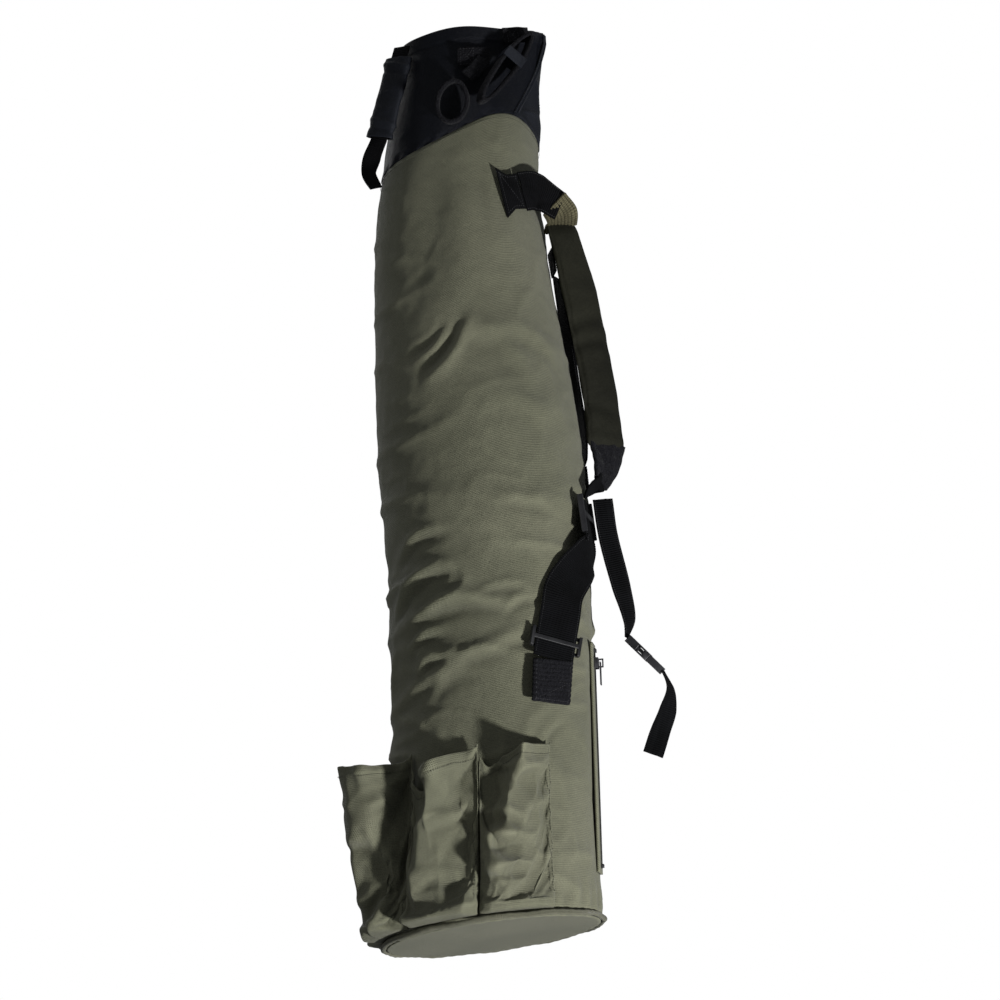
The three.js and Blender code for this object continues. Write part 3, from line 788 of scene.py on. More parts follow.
makeBase(baseSettings)
makePiping(pipingSettings)
print("base made")


collarSettings = {
    "cloth": 0.0018,
    "hem": 0.0034,
    "hemHeight": 0.016,
    "seamLow": -47,  # degrees of the piped seam at its foot and at the rim
    "seamHigh": -14,
    "back": 150,
}


def collarPanel(name, fromDegrees, toDegrees, cols, crumple, seed, settings):
    rows = 90
    rise = np.linspace(0, 1, rows)[:, None]
    share = np.linspace(0, 1, cols)[None, :]
    start = fromDegrees[0] + (fromDegrees[1] - fromDegrees[0]) * rise
    end = toDegrees[0] + (toDegrees[1] - toDegrees[0]) * rise
    degrees = start + (end - start) * share
    low = seamHeight(degrees) + 0.0004
    z = low + (rimHeight(degrees) - low) * rise
    place = onTube(degrees, z)
    relief = crumple * 1.3 * (creases(place * np.array([1.2, 1.2, 0.8]), 0.085, seed, 4.0) - 0.35)
    relief = relief + crumple * 0.8 * (creases(place, 0.035, seed + 3, 3.0) - 0.35)
    relief = relief + crumple * 1.1 * cloudNoise(place, 0.09, seed + 5)
    edges = smoothstep(0, 0.12, rise) * smoothstep(0, 0.03, share) * smoothstep(0, 0.03, 1 - share)
    gathers = 0.0012 * np.sin(np.radians(degrees) * 26) * (1 - smoothstep(0, 0.08, rise))
    relief = np.minimum(relief * edges, 0.0012) + gathers
    toRim = rimHeight(degrees) - z
    thick = np.where(toRim < settings["hemHeight"], settings["hem"], settings["cloth"])
    offset = relief - settings["cloth"] / 2 - 0.0004
    return shell(name, onTube(degrees, z, offset), thick)


def seamDegrees(rise, settings):
    return settings["seamLow"] + (settings["seamHigh"] - settings["seamLow"]) * rise


def makeCollar(settings):
    low, high, back = settings["seamLow"], settings["seamHigh"], settings["back"]
    gap = 0.25
    front = collarPanel(
        "collar_front", (back - 360 + gap,) * 2, (low - gap, high - gap), 190, 0.0030, 41, settings
    )
    finished(front, "bag", navyCloth, ["collar_front_panel"])
    side = collarPanel(
        "collar_side", (low + gap, high + gap), (back - gap,) * 2, 170, 0.0055, 57, settings
    )
    finished(side, "bag", navySide, ["collar_side_panel"])
    # two piped ridges along the seam
    rise = np.linspace(0.02, 0.985, 90)[:, None]
    across = np.linspace(-1, 1, 21)[None, :]
    middle = seamDegrees(rise, settings)
    degrees = middle + across * 2.6
    z = seamHeight(middle) + 0.001 + (rimHeight(middle) - seamHeight(middle) - 0.002) * rise + 0 * across
    ridge = 0.0011 * (np.exp(-((across - 0.55) / 0.25) ** 2) + np.exp(-((across + 0.55) / 0.25) ** 2))
    wobble = 0.0005 * cloudNoise(onTube(degrees, z), 0.02, 6)
    tape = shell("collar_seam", onTube(degrees, z, 0.0012 + ridge + wobble), 0.0012)
    finished(tape, "bag", navySide, ["collar_seam_tape"])


makeCollar(collarSettings)
print("collar made")


pocketSettings = {
    "start": -57.5,  # degrees of the right-hand edge of the first pocket
    "step": -40.0,
    "span": -39.0,
    "bulge": (0.030, 0.046, 0.058, 0.050),
    "floor": 0.010,
    "hardCreases": 0.0060,
    "flatSide": -0.146,  # metres along X
    "rows": 66,
    "cols": 52,
    "floorRows": 8,
    "cloth": 0.0013,
    "hem": 0.0030,
    "hemHeight": 0.013,
    # how far each pocket stands off, as shares of its bulge, from its right seam to its left one,
    # at the foot, a third up, two thirds up and at the mouth
    "gathers": (
        (((0, 0.1), (0.2, 0.55), (0.5, 0.7), (0.85, 0.72), (1, 0.1)),
         ((0, 0.05), (0.3, 0.5), (0.62, 0.8), (0.93, 1.35), (0.97, 0.7), (1, 0.1)),
         ((0, 0.05), (0.2, 0.55), (0.4, 0.85), (0.68, 1.5), (0.78, 0.3), (1, 0.08)),
         ((0, 0.05), (0.12, 0.6), (0.35, 0.95), (0.54, 1.5), (0.64, 0.25), (1, 0.05))),
        (((0, 0.1), (0.14, 0.8), (0.5, 0.9), (0.86, 0.8), (1, 0.1)),
         ((0, 0.05), (0.2, 0.15), (0.40, 0.95), (0.72, 1.1), (0.86, 0.3), (1, 0.1)),
         ((0, 0.05), (0.28, 0.12), (0.46, 1.15), (0.62, 1.0), (0.76, 0.22), (1, 0.08)),
         ((0, 0.05), (0.22, 0.15), (0.38, 1.3), (0.5, 0.9), (0.66, 0.2), (0.85, 0.15), (1, 0.1))),
        (((0, 0.1), (0.2, 0.5), (0.42, 0.9), (0.6, 0.55), (0.82, 0.85), (1, 0.1)),
         ((0, 0.05), (0.22, 0.2), (0.36, 0.5), (0.5, 0.25), (0.74, 1.25), (0.92, 0.8), (1, 0.1)),
         ((0, 0.05), (0.28, 0.2), (0.6, 1.15), (0.82, 1.3), (0.95, 0.7), (1, 0.1)),
         ((0, 0.05), (0.2, 0.15), (0.48, 1.05), (0.76, 1.4), (0.92, 1.1), (1, 0.1))),
        (((0, 0.1), (0.25, 0.7), (0.5, 0.5), (0.8, 0.8), (1, 0.1)),
         ((0, 0.1), (0.2, 0.9), (0.45, 0.5), (0.7, 1.0), (0.9, 0.6), (1, 0.1)),
         ((0, 0.1), (0.22, 1.0), (0.45, 0.7), (0.75, 1.1), (0.9, 0.5), (1, 0.1)),
         ((0, 0.1), (0.18, 0.95), (0.4, 0.6), (0.65, 1.05), (0.88, 0.8), (1, 0.05))),
    ),
    # metres that the slack of each pocket sags sideways and forwards
    "lean": ((0, 0, 0), (-0.010, 0, 0), (0.004, -0.050, 0), (0, 0, 0)),
    # where each mouth slumps: share across, half width, depth
    "slump": ((0.86, 0.16, 0.020), (0.70, 0.30, 0.040), (0.40, 0.25, 0.006), (0.45, 0.30, 0.016)),
    "folds": [
        (-96, 0.128, -76, 0.118, 7, 6.0),
        (-101, 0.090, -70, 0.095, 7, 8.0),
        (-99, 0.056, -68, 0.064, 7, 7.0),
        (-82, 0.160, -66, 0.185, 7, 4.0),
        (-128, 0.070, -100, 0.052, 8, 5.0),
        (-118, 0.120, -104, 0.145, 6, 5.0),
        (-172, 0.172, -150, 0.166, 5, 5.0),
        (-176, 0.100, -146, 0.130, 8, 7.0),
        (-160, 0.045, -142, 0.080, 7, 6.0),
        (170, 0.10, 150, 0.13, 7, 6.0),
    ],
    # cloth simulation: how much longer the cloth is than the space it hangs in
    "spare": 0.05,
    "frames": 18,
    "reach": 0.009,  # the furthest that a point may move
    "net": {"quality": 6, "mass": 0.12, "tension_stiffness": 20, "compression_stiffness": 20,
            "shear_stiffness": 8, "bending_stiffness": 0.8, "tension_damping": 10,
            "compression_damping": 10, "shear_damping": 10, "air_damping": 4},
}


def gathered(i, k, rise, settings):
    # the stand-off across and up one pocket, with sharp gathers that wander as they rise
    levels = settings["gathers"][i]
    at = np.linspace(0, 1, len(levels))
    lines = np.stack([np.interp(k.ravel(), *zip(*level)) for level in levels])
    made = np.empty((rise.size, k.size))
    for row, height in enumerate(rise.ravel()):
        upper = int(np.clip(np.searchsorted(at, height), 1, len(levels) - 1))
        t = smoothstep(at[upper - 1], at[upper], height)
        made[row] = lines[upper - 1] * (1 - t) + lines[upper] * t
    return made


def pocketGrid(i, settings):
    # the front cloth of one pocket, with its floor turned in under it
    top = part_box("pocket_%d" % (i + 1))[1][2]
    k = np.linspace(0, 1, settings["cols"])[None, :]
    floor, bulge = settings["floor"], settings["bulge"][i]
    degrees = settings["start"] + settings["step"] * i + settings["span"] * k
    rise = np.linspace(0, 1, settings["rows"])[:, None]
    place, halfSpan, depth = settings["slump"][i]
    mouth = top - depth * np.exp(-(((k - place) / halfSpan) ** 2))
    z = floor + 0.004 + (mouth - floor - 0.004) * rise
    off = gathered(i, k, rise, settings)
    front = onTube(degrees, z, 0.0042 + bulge * (0.62 + 0.38 * rise) * off)
    leaning = smoothstep(0.12, 0.5, k) * (1 - smoothstep(0.86, 1.0, k)) * (0.45 + 0.55 * rise)
    lean = np.array(settings["lean"][i]) * leaning[..., None]
    out = np.linspace(0, 1, settings["floorRows"])[:, None] ** 0.7
    start = onTube(degrees, floor + 0 * k, 0.0022)
    under = start + (front[:1] - start) * out[..., None]
    under[..., 2] = floor + 0.003 * out**4
    return np.concatenate([under[:-1], front + lean])


def simulated(obj, settings, values, gravity):
    # a few frames of cloth, with the movement of each point capped
    start = placesOf(obj.data)
    cloth = obj.modifiers.new("cloth", "CLOTH")
    for key, value in values.items():
        setattr(cloth.settings, key, value)
    cloth.settings.effector_weights.gravity = gravity
    cloth.collision_settings.use_collision = False
    cloth.point_cache.frame_start = 1
    cloth.point_cache.frame_end = settings["frames"]
    for step in range(1, settings["frames"] + 1):
        scene.frame_set(step)
    moved = placesOf(obj.evaluated_get(bpy.context.evaluated_depsgraph_get()).data)
    mesh = obj.data
    bpy.data.objects.remove(obj)
    bpy.data.meshes.remove(mesh)
    scene.frame_set(1)
    shift = moved - start
    size = np.linalg.norm(shift, axis=1, keepdims=True)
    reach = settings["reach"]
    return start + shift / np.maximum(size, 1e-9) * reach * np.tanh(size / reach)


def drape(grid, settings):
    # hangs a net of cloth that is a little too long, held at its floor and both side seams
    rows, cols = grid.shape[:2]
    i, j = (part.ravel() for part in np.meshgrid(np.arange(rows - 1), np.arange(cols - 1), indexing="ij"))
    faces = np.stack([i * cols + j, i * cols + j + 1, (i + 1) * cols + j + 1, (i + 1) * cols + j], -1)
    mesh = bpy.data.meshes.new("pocketNet")
    mesh.from_pydata(grid.reshape(-1, 3).tolist(), [], faces.tolist())
    net = link(bpy.data.objects.new("pocketNet", mesh))
    held = np.zeros((rows, cols), bool)
    held[: settings["floorRows"] + 1] = held[:, [0]] = held[:, [-1]] = True
    net.vertex_groups.new(name="held").add(np.flatnonzero(held).tolist(), 1.0, "REPLACE")
    values = {**settings["net"], "shrink_min": -settings["spare"], "vertex_group_mass": "held"}
    return simulated(net, settings, values, 1.0).reshape(grid.shape)


def offTube(grid, least):
    # keeps points at least this far outside the tube
    z = grid[..., 2]
    middle, halfWidth, halfDepth = (np.interp(z, tubeHeights, tubeTable[:, k]) for k in range(3))
    dx, dy = grid[..., 0] - middle, grid[..., 1]
    far = np.sqrt((dx / (halfWidth + least)) ** 2 + (dy / (halfDepth + least)) ** 2)
    push = np.maximum(1, 1 / np.maximum(far, 1e-6))
    return np.stack([middle + dx * push, dy * push, z], -1)


def crumpled(grid, settings, seed):
    # kinks and pinched folds over the gathers
    rows = len(grid)
    rise = np.clip((np.arange(rows)[:, None] - settings["floorRows"] + 1) / (settings["rows"] - 1), 0, 1)
    z = grid[..., 2]
    middle = np.interp(z, tubeHeights, tubeTable[:, 0])
    degrees = np.degrees(np.arctan2(grid[..., 1], grid[..., 0] - middle))
    relief = foldRelief(degrees, z, settings["folds"], 0.15)
    relief = relief + 0.015 * (creases(grid * np.array([1, 1, 0.85]), 0.062, seed, 1.0) - 0.72)
    relief = relief + 0.0070 * (creases(grid, 0.030, seed + 9, 1.1) - 0.72)
    share = np.linspace(0, 1, grid.shape[1])[None, :]
    relief = relief * smoothstep(0, 0.05, rise) * smoothstep(0, 0.1, share) * smoothstep(0, 0.1, 1 - share)
    return grid - gridNormals(grid) * relief[..., None]  # the grid's own normals face the tube


def makePockets(settings):
    for i in range(len(settings["bulge"])):
        grid = crumpled(pocketGrid(i, settings), settings, 60 + 17 * i)
        rows, cols = grid.shape[:2]
        grid = drape(grid, settings)
        # hard little creases where the cloth has been crushed
        share = np.linspace(0, 1, cols)[None, :]
        rising = np.linspace(0, 1, rows)[:, None]
        edges = smoothstep(0.14, 0.2, rising) * smoothstep(0, 0.08, share) * smoothstep(0, 0.08, 1 - share)
        hard = settings["hardCreases"] * (creases(grid, 0.040, 210 + i, 0.9) - 0.76)
        grid = grid - gridNormals(grid) * (hard * edges)[..., None]
        # the outermost gathers are pressed flat on the left
        beyond = np.maximum(settings["flatSide"] - grid[..., 0], 0)
        grid[..., 0] += beyond - 0.010 * np.tanh(beyond / 0.010)
        grid = offTube(grid, 0.0022)
        rise = (np.arange(rows) - settings["floorRows"]) / (settings["rows"] - 1)
        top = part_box("pocket_%d" % (i + 1))[1][2]
        hemShare = 1 - settings["hemHeight"] / (top - settings["floor"])
        thick = np.where(rise > hemShare, settings["hem"], settings["cloth"])[:, None]
        cloth = shell("pocket_cloth_%d" % (i + 1), grid, np.broadcast_to(thick, (rows, cols)))
        rounded = cloth.modifiers.new("smooth", "SUBSURF")
        rounded.levels = rounded.render_levels = 1
        finished(cloth, "bag", oliveCloth, ["pocket_%d" % (i + 1)])
        pocketGrids.append(grid)


pocketGrids = []
makePockets(pocketSettings)
print("pockets made")


# small pieces shared by the straps

def mm(*place):
    return np.array(place, float)


def longer(line, before, after):
    # the same stations with straight ends run on by some mm
    first = mm(*line[0][0]) + unit(mm(*line[0][0]) - mm(*line[1][0])) * before
    last = mm(*line[-1][0]) + unit(mm(*line[-1][0]) - mm(*line[-2][0])) * after
    return [(first, *line[0][1:]), *line[1:-1], (last, *line[-1][1:])]


def tubePoint(degrees, z, offset):
    return onTube(degrees, z / 1000, offset / 1000) * 1000


def tubeAcross(degrees):
    return (-math.sin(math.radians(degrees)), math.cos(math.radians(degrees)), 0)


def stripLine(piece, share, lift, start=0.0, end=1.0):
    # a line along a strap at this share of its half width, lifted off its face, in metres
    rows = piece.get("rows", 60)
    middle, across, face, width = stripFrames(piece["line"], rows)
    reached = np.linspace(0, 1, rows)
    keep = (reached >= start) & (reached <= end)
    relief = piece.get("relief")
    raised = relief(reached[:, None], np.array([[share]]))[:, 0] if relief else np.zeros(rows)
    made = middle + across * (share * width / 2)[:, None] + face * (lift + raised)[:, None]
    return made[keep]


def crossLine(piece, at, reach, lift):
    # a line across a strap at this share of its length
    rows = piece.get("rows", 60)
    middle, across, face, width = stripFrames(piece["line"], rows)
    row = int(round(at * (rows - 1)))
    shares = np.linspace(-reach, reach, 9)
    relief = piece.get("relief")
    raised = relief(np.array([[at]]), shares[None, :])[0] if relief else np.zeros(9)
    sideways = across[row] * (shares * width[row] / 2)[:, None]
    return middle[row] + sideways + face[row] * (lift + raised)[:, None]


# the straps, with the creases worn into each

def lengthwise(depth, seed, count=1.0):
    def relief(along, across):
        wander = 0.25 * np.sin(along * 7 + seed)
        first = np.exp(-(((across - 0.35 - wander * 0.5) / 0.16) ** 2))
        second = np.exp(-(((across + 0.4 - wander) / 0.2) ** 2))
        bowed = 0.5 * (1 - across**2)
        ripple = 0.25 * np.sin(along * 19 * count + seed + across * 1.4)
        return depth * (first * 0.8 - second * 0.9 + bowed + ripple)
    return relief


def ribbedAcross(depth, count, seed=0.0):
    def relief(along, across):
        bent = along * count + 0.12 * np.sin(across * 3 + seed)
        return depth * np.sin(bent * 2 * np.pi) + depth * 0.6 * (1 - across**2)
    return relief


def ribbedAlong(depth, count):
    def relief(along, across):
        return depth * np.sin(across * np.pi * count) + 0 * along
    return relief


def flatStrap(along, across):
    return 0.0004 * np.sin(along * 11 + across * 2)


def stations(across, width, *places):
    # stations that share a direction and a width
    return [(place, across, width) for place in places]


padAcross = (0.77, 0.64, 0)
sleeveLine = stations(
    (0.85, -0.52, 0), 25, (30, -46, 1090), (22, -48, 1066), (12, -48.5, 1040), (2, -48, 1014), (-7, -46, 991)
)
strapPieces = {
    "anchor_patch": {
        "stands": "strap_anchor_patch", "body": "bag", "thick": 0.0018, "rows": 40, "cols": 35,
        "line": [((131, -90, 884), (0.1, 0, 1), 64), ((143, -83.5, 886), (0, 0, 1), 44),
                 ((155.5, -75.5, 888), (0, 0, 1), 46)],
        "relief": flatStrap, "cloth": "black_webbing",
    },
    "top_webbing": {
        "stands": "strap_top_webbing", "body": "shoulder_strap", "thick": 0.0022, "rows": 70, "cols": 31,
        "line": [((158, -73, 888), (0, 0, 1), 50), ((170, -65, 890), (0.25, 0.12, 0.96), 50),
                 ((181, -54, 887), (0.6, 0.35, 0.72), 46), ((195, -46, 877), (0.8, 0.5, 0.33), 42)],
        "relief": lengthwise(0.0014, 1.0), "cloth": "black_webbing", "runOn": (2, 8),
    },
    "ribbed_section": {
        "stands": "strap_ribbed_section", "body": "shoulder_strap", "thick": 0.0028, "rows": 50, "cols": 61,
        "line": [((196.6, -43.4, 871), (0.8, 0.5, 0.33), 42), ((201, -34, 863), (0.79, 0.6, 0.12), 46),
                 ((199.6, -24.2, 857), padAcross, 45)],
        "relief": ribbedAlong(0.0008, 9), "cloth": "olive_webbing", "runOn": (7, 9),
    },
    "lower_tab": {
        "stands": "pad_lower_tab", "body": "shoulder_strap", "thick": 0.0055, "rows": 60, "cols": 31,
        "line": [((215, -12.5, 569.5), padAcross, 58), ((212, -16, 552), (0.68, 0.73, 0), 46),
                 ((203, -27, 527), (0.5, 0.86, 0), 28)],
        "relief": lengthwise(0.0016, 3.0, 1.4), "cloth": "hook_and_loop", "runOn": (10, 6),
    },
    "lower_webbing": {
        "stands": "strap_lower_webbing", "body": "shoulder_strap", "thick": 0.0042, "rows": 40, "cols": 21,
        "line": [((199.6, -31.2, 521.6), (0.5, 0.86, 0), 24), ((192, -41, 516), (0.3, 0.95, 0), 20),
                 ((183, -52, 508), (0.2, 0.98, 0), 18)],
        "relief": flatStrap, "cloth": "black_webbing", "runOn": (6, 2),
    },
    "wide_webbing": {
        "stands": "strap_wide_webbing", "body": "bag", "thick": 0.0020, "rows": 150, "cols": 37,
        "line": [*stations((0.2, 0.98, 0), 50, (178, -51, 498), (178, -51, 473), (178, -51, 453),
                           (178, -51, 441)),
                 ((168, -68, 422), (0.55, 0.84, 0), 50), ((152, -86, 402), (0.8, 0.6, 0), 50),
                 *stations((0.93, 0.36, 0), 50, (137, -97, 381), (129, -100.7, 354), (121, -104.3, 328),
                           (113, -108, 301))],
        "cloth": "black_webbing", "runOn": (0, 2),
    },
    "anchor_tab": {
        "stands": "strap_anchor_tab", "body": "bag", "thick": 0.0042, "rows": 70, "cols": 31,
        "line": [((112, -108.2, 296), (0.93, 0.36, 0), 50), ((108, -106.5, 275), (0.9, 0.42, 0), 50),
                 ((103, -105, 249), (0.88, 0.47, 0), 50)],
        "relief": ribbedAcross(0.0007, 9), "cloth": "hook_and_loop", "runOn": (1, 0),
    },
    "tail": {
        "stands": "tail_webbing", "body": "tail_strap", "thick": 0.0018, "rows": 130, "cols": 21,
        "line": [((200, -46, 498), (0.95, 0.3, 0), 25), ((200, -45, 455), (0.95, 0.3, 0), 25),
                 ((207, -36, 392), (0.9, 0.4, 0), 25), ((211, -30, 352), (0.6, 0.8, 0), 25),
                 ((205.2, -28.1, 330.4), (0.12, 0.99, 0.12), 25)],
        "relief": lengthwise(0.0011, 5.0), "cloth": "black_webbing", "runOn": (0, 1),
    },
    "tail_end": {
        "stands": "tail_end_webbing", "body": "tail_end", "thick": 0.0018, "rows": 110, "cols": 21,
        "line": [((241.7, -26, 283.1), (0.12, 0.99, 0.12), 25), ((248, -25, 262), (0.35, 0.93, 0), 25),
                 ((242, -23, 238), (0.8, 0.6, 0), 25), ((229, -22, 213), (0.95, 0.3, 0.1), 25),
                 ((216, -22, 186), (0.93, 0.2, -0.28), 25)],
        "relief": lengthwise(0.0012, 2.0), "cloth": "black_webbing", "runOn": (1, 0),
    },
    "carry_handle_webbing": {
        "stands": "carry_handle", "body": "handle", "thick": 0.0024, "rows": 120, "cols": 21,
        "line": [(tubePoint(10, 562, 4.4), tubeAcross(10), 25), (tubePoint(19, 600, 13), tubeAcross(22), 25),
                 (tubePoint(31, 680, 26), tubeAcross(34), 25), (tubePoint(21, 762, 13), tubeAcross(24), 25),
                 (tubePoint(10, 800, 4.4), tubeAcross(10), 25)],
        "relief": flatStrap, "cloth": "black_webbing", "runOn": (2, 2),
    },
    "handle_foot": {
        "stands": "handle_patch_lower", "body": "bag", "thick": 0.0022, "rows": 24, "cols": 25,
        "line": stations(tubeAcross(10), 32, tubePoint(10, 525, 2.6), tubePoint(10, 555, 2.6)),
        "cloth": "black_webbing",
    },
    "handle_head": {
        "stands": "handle_patch_upper", "body": "bag", "thick": 0.0022, "rows": 24, "cols": 25,
        "line": stations(tubeAcross(10), 32, tubePoint(10, 807, 2.6), tubePoint(10, 837, 2.6)),
        "cloth": "black_webbing",
    },
    "rod_patch_l": {
        "stands": "rod_patch_left", "body": "bag", "thick": 0.0024, "rows": 40, "cols": 21,
        "line": stations((0, 0, 1), 24, (101, -94, 1064), (120, -94.6, 1062), (139, -92.5, 1060)),
        "relief": flatStrap, "cloth": "hook_and_loop",
    },
    "rod_tab_l": {
        "stands": "rod_tab_left", "body": "bag", "thick": 0.0022, "rows": 36, "cols": 17,
        "line": [((133, -97, 1056), (0.9, 0, -0.4), 18), ((121, -101, 1043), (0.8, 0, -0.6), 18),
                 ((109, -104, 1034), (0.7, 0, -0.7), 18)],
        "relief": lengthwise(0.0007, 4.0), "cloth": "hook_and_loop",
    },
    "rod_patch_r": {
        "stands": "rod_patch_right", "body": "bag", "thick": 0.0020, "rows": 36, "cols": 19,
        "line": stations((0, 0, 1), 20, (161, -88, 1086), (178, -80, 1088), (192, -71, 1089)),
        "relief": flatStrap, "cloth": "hook_and_loop",
    },
    "grab_tape": {
        "stands": "grab_webbing", "body": "grab", "thick": 0.0022, "rows": 150, "cols": 19,
        "line": [((36, -44, 1106), (0.85, -0.52, 0), 25), *sleeveLine,
                 ((-19, -40, 970), (0.85, -0.52, 0), 25), ((-26, -30, 953), (0.6, -0.8, 0), 25),
                 ((-21, -22, 940), (0.45, -0.9, 0), 25)],
        "relief": flatStrap, "cloth": "black_webbing", "runOn": (0, 5),
    },
}
cloths = {
    "black_webbing": blackWebbing,
    "olive_webbing": oliveWebbing,
    "hook_and_loop": hookTape,
}


def makeStraps(pieces):
    for name, piece in pieces.items():
        if "runOn" in piece:
            piece["line"] = longer(piece["line"], *piece["runOn"])
        made = strip(name, piece, piece.get("relief"))
        finished(made, piece["body"], cloths[piece["cloth"]], [piece["stands"]])


makeStraps(strapPieces)
print("straps made")


# the shoulder pad

padSettings = {
    "line": [((198.8, -23.4, 858), padAcross, 46), ((209, -17, 780), padAcross, 60),
             ((214.5, -13, 700), padAcross, 60), ((216.5, -11, 630), padAcross, 60),
             ((214.8, -12.6, 568), padAcross, 58)],
    "rows": 84,
    "round": 40,
    "thick": 0.0115,
    "edge": 0.0030,
    "seam": 0.86,  # share of the half width where the channel is sewn
    # shares of the length where it has been creased across, with width and depth in metres
    "creases": [(0.40, 0.009, 0.0034), (0.49, 0.008, 0.0038), (0.56, 0.02, 0.0012),
                (0.79, 0.011, 0.0030), (0.90, 0.02, 0.0012)],
    "frames": 16,
    "reach": 0.0022,
    "form": {"quality": 6, "mass": 0.2, "tension_stiffness": 18, "compression_stiffness": 12,
             "bending_stiffness": 1.2, "use_pressure": True, "uniform_pressure_force": 3.0},
}


def padGrid(settings):
    # a closed section at each row, as a ring of points
    rows, count = settings["rows"], settings["round"]
    middle, across, face, width = stripFrames(settings["line"], rows)
    turn = np.linspace(0, 2 * np.pi, count, endpoint=False)
    side = np.sign(np.cos(turn)) * np.abs(np.cos(turn)) ** 0.75
    deep = np.sign(np.sin(turn)) * np.abs(np.sin(turn)) ** 0.8
    along = np.linspace(0, 1, rows)[:, None]
    ends = smoothstep(0, 0.05, along) * smoothstep(0, 0.05, 1 - along)
    thick = settings["edge"] + (settings["thick"] - settings["edge"]) * ends
    corner = 0.88 + 0.12 * np.sqrt(np.clip(np.minimum(along, 1 - along) / 0.03, 0, 1))
    points = middle[:, None] + across[:, None] * (side[None] * corner * width[:, None] / 2)[..., None]
    return points + face[:, None] * (deep[None] * thick / 2)[..., None], face, side, deep


def ringMesh(name, grid):
    # rings closed at both ends by a fan round the middle
    rows, cols = grid.shape[:2]
    faces = ringFaces(rows, cols)
    mesh = bpy.data.meshes.new(name)
    middles = [grid[0].mean(0), grid[-1].mean(0)]
    last = (rows - 1) * cols
    for j in range(cols):
        faces.append((rows * cols, (j + 1) % cols, j))
        faces.append((rows * cols + 1, last + j, last + (j + 1) % cols))
    mesh.from_pydata(np.vstack([grid.reshape(-1, 3), middles]).tolist(), [], faces)
    recalculated(mesh)
    return mesh


def makePad(settings):
    grid, face, side, deep = padGrid(settings)
    rows, cols = grid.shape[:2]
    form = link(bpy.data.objects.new("padForm", ringMesh("padForm", grid)))
    grid = simulated(form, settings, settings["form"], 0.0)[: rows * cols].reshape(grid.shape)
    along = np.linspace(0, 1, rows)[:, None]
    sunk = 0.0013 * np.exp(-(((np.abs(side)[None] - settings["seam"]) / 0.06) ** 2)) + 0 * along
    for at, wide, depth in settings["creases"]:
        lengthShare = wide / 0.28
        bent = at + 0.012 * np.sin(side[None] * 2.2 + at * 9)
        sunk = sunk + depth * np.exp(-(((along - bent) / lengthShare) ** 2))
        sunk = sunk - depth * 0.4 * np.exp(-(((along - bent - lengthShare * 2) / lengthShare) ** 2))
    lumps = 0.0011 * cloudNoise(grid, 0.022, 4) + 0.0009 * (creases(grid, 0.03, 8, 3.0) - 0.4)
    away = np.sign(deep)[None] * np.minimum(np.abs(deep)[None] * 1.6, 1)
    grid = grid - face[:, None] * ((sunk - lumps) * away)[..., None]
    mesh = ringMesh("pad_cloth", grid)
    layCloth(mesh, placesOf(mesh) @ np.array([[0.77, 0], [0.64, 0], [0, 1]]))
    # the foam inside follows the creases, well within the cover
    middles = grid.mean(axis=1, keepdims=True)
    inside = (middles + (grid - middles) * 0.72)[4:-4]
    core = link(bpy.data.objects.new("pad_core", ringMesh("pad_core", inside)))
    finished(core, "shoulder_strap", greyFoam, ["pad_foam"])
    pad = link(bpy.data.objects.new("pad_cloth", mesh))
    rounded = pad.modifiers.new("smooth", "SUBSURF")
    rounded.levels = rounded.render_levels = 2
    finished(pad, "shoulder_strap", padOliveAndShadeCloth, ["pad_cover"])


makePad(padSettings)
print("pad made")


# loops of tape, the keeper and the sleeve

loopPieces = {
    "loop_left": {
        "stands": "rod_loop_left", "body": "left_loop", "across": (1, 0, -0.35), "along": (0.3, -0.22, 0.9),
        "middle": (87, -109, 1002), "half": (18, 25), "wide": 16, "thick": 0.0048, "seed": 3,
    },
    "loop_right": {
        "stands": "rod_loop_right", "body": "right_loop", "across": (0.62, 0.35, -0.6), "along": (73, 30, 90),
        "middle": (157, -98, 1040), "half": (10.5, 57), "wide": 16, "thick": 0.0042, "seed": 6,
    },
}


def loopAxes(piece):
    along = unit(mm(*piece["along"]))
    across = mm(*piece["across"])
    across = unit(across - along * np.dot(across, along))
    return across, along, np.cross(across, along)


def makeLoops(pieces):
    for name, piece in pieces.items():
        across, along, deep = loopAxes(piece)
        turn = np.linspace(0, 2 * np.pi, 96, endpoint=False)[:, None]
        share = np.linspace(-0.5, 0.5, 13)[None, :]
        halfAcross, halfAlong = piece["half"]
        # the tape is never quite an oval: it flattens and kinks
        kink = 1 + 0.035 * np.sin(3 * turn + piece["seed"]) + 0.02 * np.sin(5 * turn)
        ring = across * (np.cos(turn) * kink * halfAcross)[..., None]
        ring = ring + along * (np.sin(turn) * halfAlong)[..., None]
        ring = mm(*piece["middle"]) + ring + deep * (share * piece["wide"])[..., None]
        tape = shell(name, ring / 1000, piece["thick"], wrapRows=True)
        finished(tape, piece["body"], hookTape, [piece["stands"]])


